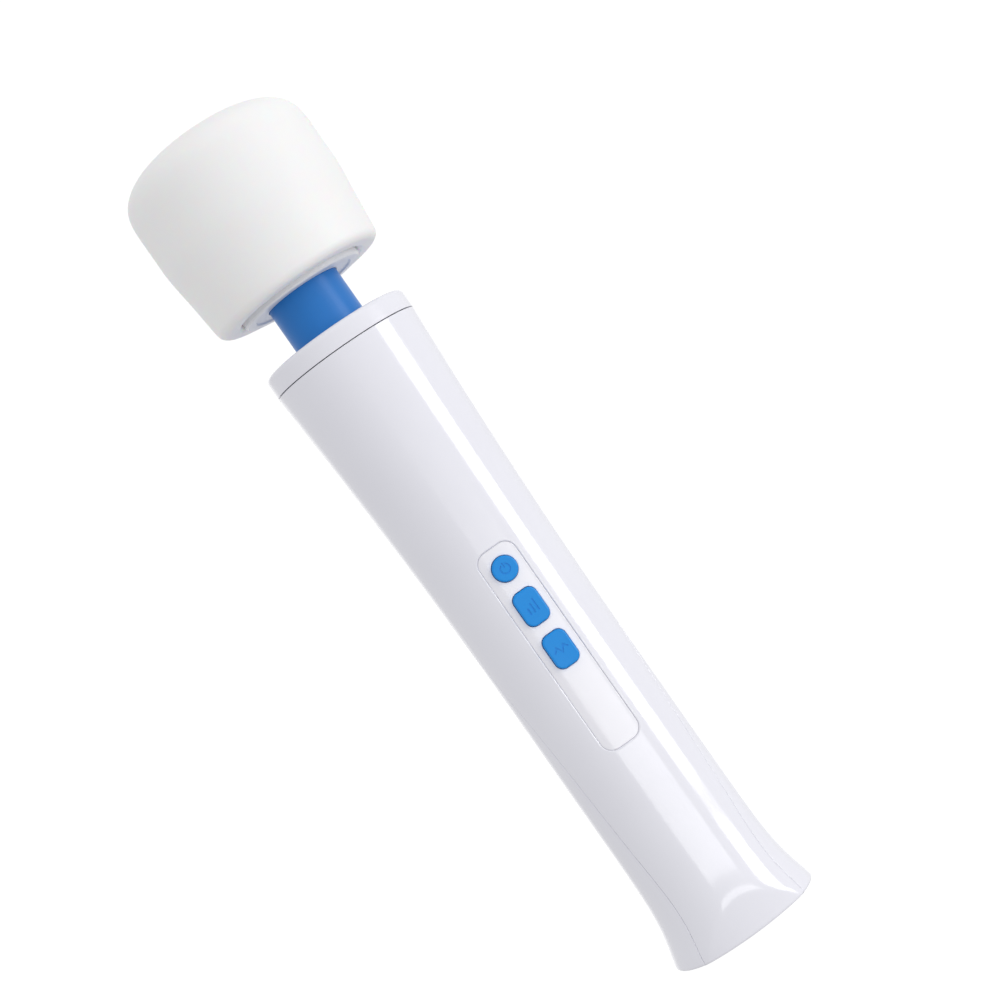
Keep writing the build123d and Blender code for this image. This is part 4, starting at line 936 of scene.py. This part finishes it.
def make_rear_shell():
    """The rear shell, with five screw pockets, the charging jack's mouth and the charging board's posts."""
    outline, rounding = shell_outline(rear=True)
    screws = [*SIDE_SCREWS, FOOT_SCREW]
    loops = [(outline, rounding, None)]
    for spot in screws:
        loops.append((on_handle(disc_outline(spot, POCKET_RADIUS), rear=True), EDGE_ROUNDING, (0, -1, 0)))
    solids = [
        thick_skin(handle_surface, cavity_surface, loops, shell_grid(0.7, 2 * pi - 0.7), beneath),
        foot_plate(rear=True),
        *ribs(rear=True),
    ]
    low, high = (corner.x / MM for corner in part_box("charge_board_screws"))
    top = heights_of("charge_board")[0]
    for x in (low + SMALL_SCREW_INSET, high - SMALL_SCREW_INSET):
        hole = disc_outline((x, 0), SMALL_PILOT_RADIUS)
        solids.append(slab(disc_outline((x, 0), CHARGE_POST_RADIUS), FLOOR - CHARGE_POST_ROOT, top, [hole]))
    bore = POCKET_RADIUS - 0.03
    for x, z in screws:
        at_foot = (x, z) == FOOT_SCREW
        radius, seat = (FOOT_POST_RADIUS, FOOT_SEAT) if at_foot else (SIDE_POST_RADIUS, SIDE_SEAT)
        end = seam_y(z) + SEAM_GAP / 2
        solids.append(post(x, z, [
            (radius, mid_wall(1)), (bore, mid_wall(1)), (bore, seat), (PILOT_RADIUS, seat),
            (PILOT_RADIUS, end), (radius, end),
        ]))
    return make_object("rear_shell_skin", *merge(*solids))


def make_panel():
    """The control panel: an inlaid strip with three button holes."""
    outline = on_handle(panel_outline(0), PANEL_INSET)
    holes = [on_handle(hole, PANEL_INSET) for hole in button_holes(BUTTON_CLEARANCE)]
    grid = rows_of_places(-7.0, 7.0, np.arange(*heights_of("control_panel"), 0.9), 1.0)
    loops = [(outline, PANEL_ROUNDING, (0, 1, 0))]
    loops += [(hole, BUTTON_HOLE_ROUNDING, (0, 1, 0)) for hole in holes]
    return make_object("control_panel_inlay", *thick_skin(panel_surface, panel_back, loops, grid))


# ---------------------------------------------------------------- soft head and neck
def make_head():
    """The soft cover: a turned cap with a rolled lip below, over its core. Points are (radius, height)."""
    bottom, top = heights_of("head_cover")
    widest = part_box("head_cover")[1].x / MM
    core_clearance, core_round = 0.2, 8.0
    core_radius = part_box("head_core")[1].x / MM + core_clearance
    core_top = heights_of("head_core")[1] + core_clearance
    inner_low = heights_of("head_base_plate")[1] - 3.1
    lip_radius, lip_round, lip_flat = 21.5, 2.0, 3.2
    roll_radius, roll_end = 2.97, -7.2  # the rounded rim, and the angle in degrees where the flank starts
    roll_x = lip_radius + lip_round + lip_flat
    flank_start = (
        roll_x + roll_radius * cos(radians(roll_end)), bottom + roll_radius * (1 + sin(radians(roll_end)))
    )
    band_low, band_high = bottom + 28.2, bottom + 40.2
    flank = smooth_curve(
        (flank_start, (31.25, bottom + 17.7), (widest, band_low)), (0.125, 0.992), (0, 1), 30
    )
    dome = smooth_curve(
        ((widest, band_high), (30.6, top - 8.3), (25.0, top - 3.4), (16.0, top - 0.8), (0, top)),
        (0, 1), (-1, 0), 60,
    )
    profile = path(
        arc((lip_radius + lip_round, bottom + lip_round), lip_round, 180, 270, 10),
        run((lip_radius + lip_round, bottom), (roll_x, bottom), 0.8),
        arc((roll_x, bottom + roll_radius), roll_radius, -90, roll_end, 16),
        flank,
        run((widest, band_low), (widest, band_high), 1.5),
        dome,
        run((0, core_top), (core_radius - core_round, core_top), 3.0),
        arc((core_radius - core_round, core_top - core_round), core_round, 90, 0, 12),
        run((core_radius, core_top - core_round), (core_radius, inner_low), 4.0),
        (lip_radius, inner_low),
    )
    return lathe("head_cover_soft", profile, 192)


def make_neck(name, end, middle):
    """Half of the neck sleeve, from its clamped flange to the bend's middle, up or down. Points are
    (radius, height)."""
    bore, radius, flange, chamfer = 9.6, 12.5, 16.5, 0.4
    thickness, root, step = 2.7, 0.6, 0.7
    way = 1 if middle > end else -1
    root_height = end + way * (thickness + root)
    profile = path(
        (bore, end),
        (flange - chamfer, end),
        (flange, end + way * chamfer),
        (flange, end + way * (thickness - chamfer)),
        (flange - chamfer, end + way * thickness),
        arc((radius + root, root_height), root, -90 * way, -180 * way, 6),
        run((radius, root_height), (radius, middle), step),
        run((bore, middle), (bore, end), step),
    )[:-1]
    return lathe(name, profile[::way], 128, crease=50)


# ---------------------------------------------------------------- camera, light and floor
CAMERA_AZIMUTH = -6.6  # degrees


def look_from(azimuth, elevation, distance, centre):
    """A point round the object: azimuth 0 is in front, at -Y, and 90 is on its right, at +X."""
    turn, lift = radians(azimuth), radians(elevation)
    back = Vector((sin(turn) * cos(lift), -cos(turn) * cos(lift), sin(lift)))
    return centre + back * distance


def add_camera():
    """The camera stands level with the wand's middle and is rolled, so the wand leans up to the left."""
    azimuth, roll = radians(CAMERA_AZIMUTH), radians(35)
    distance, aside, raised = 0.63, 0.013, 0.0021
    low, high = CAD_BOX
    back = Vector((sin(azimuth), -cos(azimuth), 0))
    right = Vector((cos(azimuth), sin(azimuth), 0))
    centre = Vector((0, 0, (low.z + high.z) / 2 + raised)) + right * aside
    up = Vector((0, 0, 1)) * cos(roll) + right * sin(roll)
    data = bpy.data.cameras.new("camera")
    data.lens, data.sensor_width = 73, 36
    camera = add_object("camera", data)
    turned = Matrix((up.cross(back), up, back)).transposed().to_4x4()
    camera.matrix_world = Matrix.Translation(centre + back * distance) @ turned
    bpy.context.scene.camera = camera


def add_softbox(name, azimuth, elevation, distance, size, power, unseen):
    """A rectangular studio light that faces the wand's middle. Unseen says which rays leave it out."""
    centre = Vector((0, 0, CAD_BOX[1].z / 2))
    data = bpy.data.lights.new(name, "AREA")
    data.shape, data.energy = "RECTANGLE", power
    data.size, data.size_y = size
    light = add_object(name, data)
    light.location = look_from(CAMERA_AZIMUTH + azimuth, elevation, distance, centre)
    light.rotation_mode = "QUATERNION"
    light.rotation_quaternion = (light.location - centre).to_track_quat("Z", "Y")
    light.visible_camera = False
    setattr(light, "visible_" + unseen, False)


def add_world():
    """White to the camera, and a soft pale surround for everything else: a little dimmer on the left and
    below, and brighter straight behind the wand, so its sides get light rims."""
    world = bpy.data.worlds.new("studio")
    tree = empty_tree(world)
    white, surround = node(tree, "Background"), node(tree, "Background")
    white.inputs["Color"].default_value = (1, 1, 1, 1)
    white.inputs["Strength"].default_value = 1.05
    surround.inputs["Color"].default_value = (0.995, 0.995, 1, 1)
    directions, parts = node(tree, "TexCoord"), node(tree, "SeparateXYZ")
    tree.links.new(directions.outputs["Generated"], parts.inputs["Vector"])
    behind = spread(tree, parts.outputs["Y"], 0.0, 0.32, 0.84, 0.96)
    sideways = spread(tree, parts.outputs["X"], 0.73, 0.83, -0.95, -0.2)
    below = spread(tree, parts.outputs["Z"], -0.2, 0.0, -0.32, -0.2)
    total = sideways
    for share in (behind, below):
        added = node(tree, "Math", operation="ADD")
        tree.links.new(total, added.inputs[0])
        tree.links.new(share, added.inputs[1])
        total = added.outputs[0]
    tree.links.new(total, surround.inputs["Strength"])
    rays, mix, output = node(tree, "LightPath"), node(tree, "MixShader"), node(tree, "OutputWorld")
    tree.links.new(rays.outputs["Is Camera Ray"], mix.inputs["Fac"])
    tree.links.new(surround.outputs[0], mix.inputs[1])
    tree.links.new(white.outputs[0], mix.inputs[2])
    tree.links.new(mix.outputs[0], output.inputs["Surface"])
    bpy.context.scene.world = world


def add_floor():
    """A wide pale floor that takes only a faint contact shadow. Only the camera sees it, so the wand is
    lit from below as well, as in a light tent."""
    mesh = bpy.data.meshes.new("floor")
    half = 30.0  # metres
    corners = [(-half, -half, 0), (half, -half, 0), (half, half, 0), (-half, half, 0)]
    mesh.from_pydata(corners, [], [(0, 1, 2, 3)])
    floor = add_object("floor", mesh)
    material = bpy.data.materials.new("floor")
    tree = empty_tree(material)
    paper, glow = node(tree, "BsdfDiffuse"), node(tree, "Emission")
    both, output = node(tree, "AddShader"), node(tree, "OutputMaterial")
    paper.inputs["Color"].default_value = (0.34, 0.34, 0.34, 1)
    glow.inputs["Strength"].default_value = 0.8
    tree.links.new(paper.outputs[0], both.inputs[0])
    tree.links.new(glow.outputs[0], both.inputs[1])
    tree.links.new(both.outputs[0], output.inputs["Surface"])
    mesh.materials.append(material)
    for ray in ("diffuse", "glossy", "transmission", "volume_scatter", "shadow"):
        setattr(floor, "visible_" + ray, False)


def add_studio():
    """Everything round the wand: surround, floor, two softboxes that show only as highlights, and a fill
    light that makes none."""
    bpy.context.scene.view_settings.view_transform = "Standard"
    add_world()
    add_floor()
    add_softbox("key_strip", 69, -3, 1.2, (0.47, 0.46), 4.5, "diffuse")
    add_softbox("low_softbox", 16.5, -10, 1.6, (1.46, 0.26), 3.2, "diffuse")
    add_softbox("right_fill", 58, 5, 1.6, (1.2, 1.2), 7.2, "glossy")


# ---------------------------------------------------------------- putting it together
def finish(piece, body, slot, replaced):
    """Gives a piece its material and the body that it rides on, when there is one, and hides the CAD nodes
    that it stands for.
    """
    piece.data.materials.clear()
    piece.data.materials.append(MATERIALS[slot])
    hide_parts(*replaced)
    if body is not None:
        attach(piece, body)


def finish_cad_nodes():
    """Gives every CAD node the finished material of its slot."""
    for cad_object in frame["nodes"].values():
        for slot in cad_object.material_slots:
            slot.material = MATERIALS[slot.material.name]


def build_wand():
    """The pieces made here, each on its body except the neck's two halves, which stay where they are made.
    """
    finish(make_front_shell(), "handle", "shell_white", ["front_shell"])
    finish(make_rear_shell(), "handle", "shell_white", ["rear_shell"])
    finish(make_panel(), "handle", "panel_white", ["control_panel"])
    finish(make_head(), "head", "head_white", ["head_cover"])
    low, high = heights_of("neck_sleeve")
    bend = joint_height("neck_nod")
    lower, upper = make_neck("neck_lower", low, bend), make_neck("neck_upper", high, bend)
    finish(lower, None, "neck_blue", ["neck_sleeve"])
    finish(upper, None, "neck_blue", ["neck_sleeve"])
    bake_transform(lower)
    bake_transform(upper)


finish_cad_nodes()
build_wand()
add_camera()
add_studio()
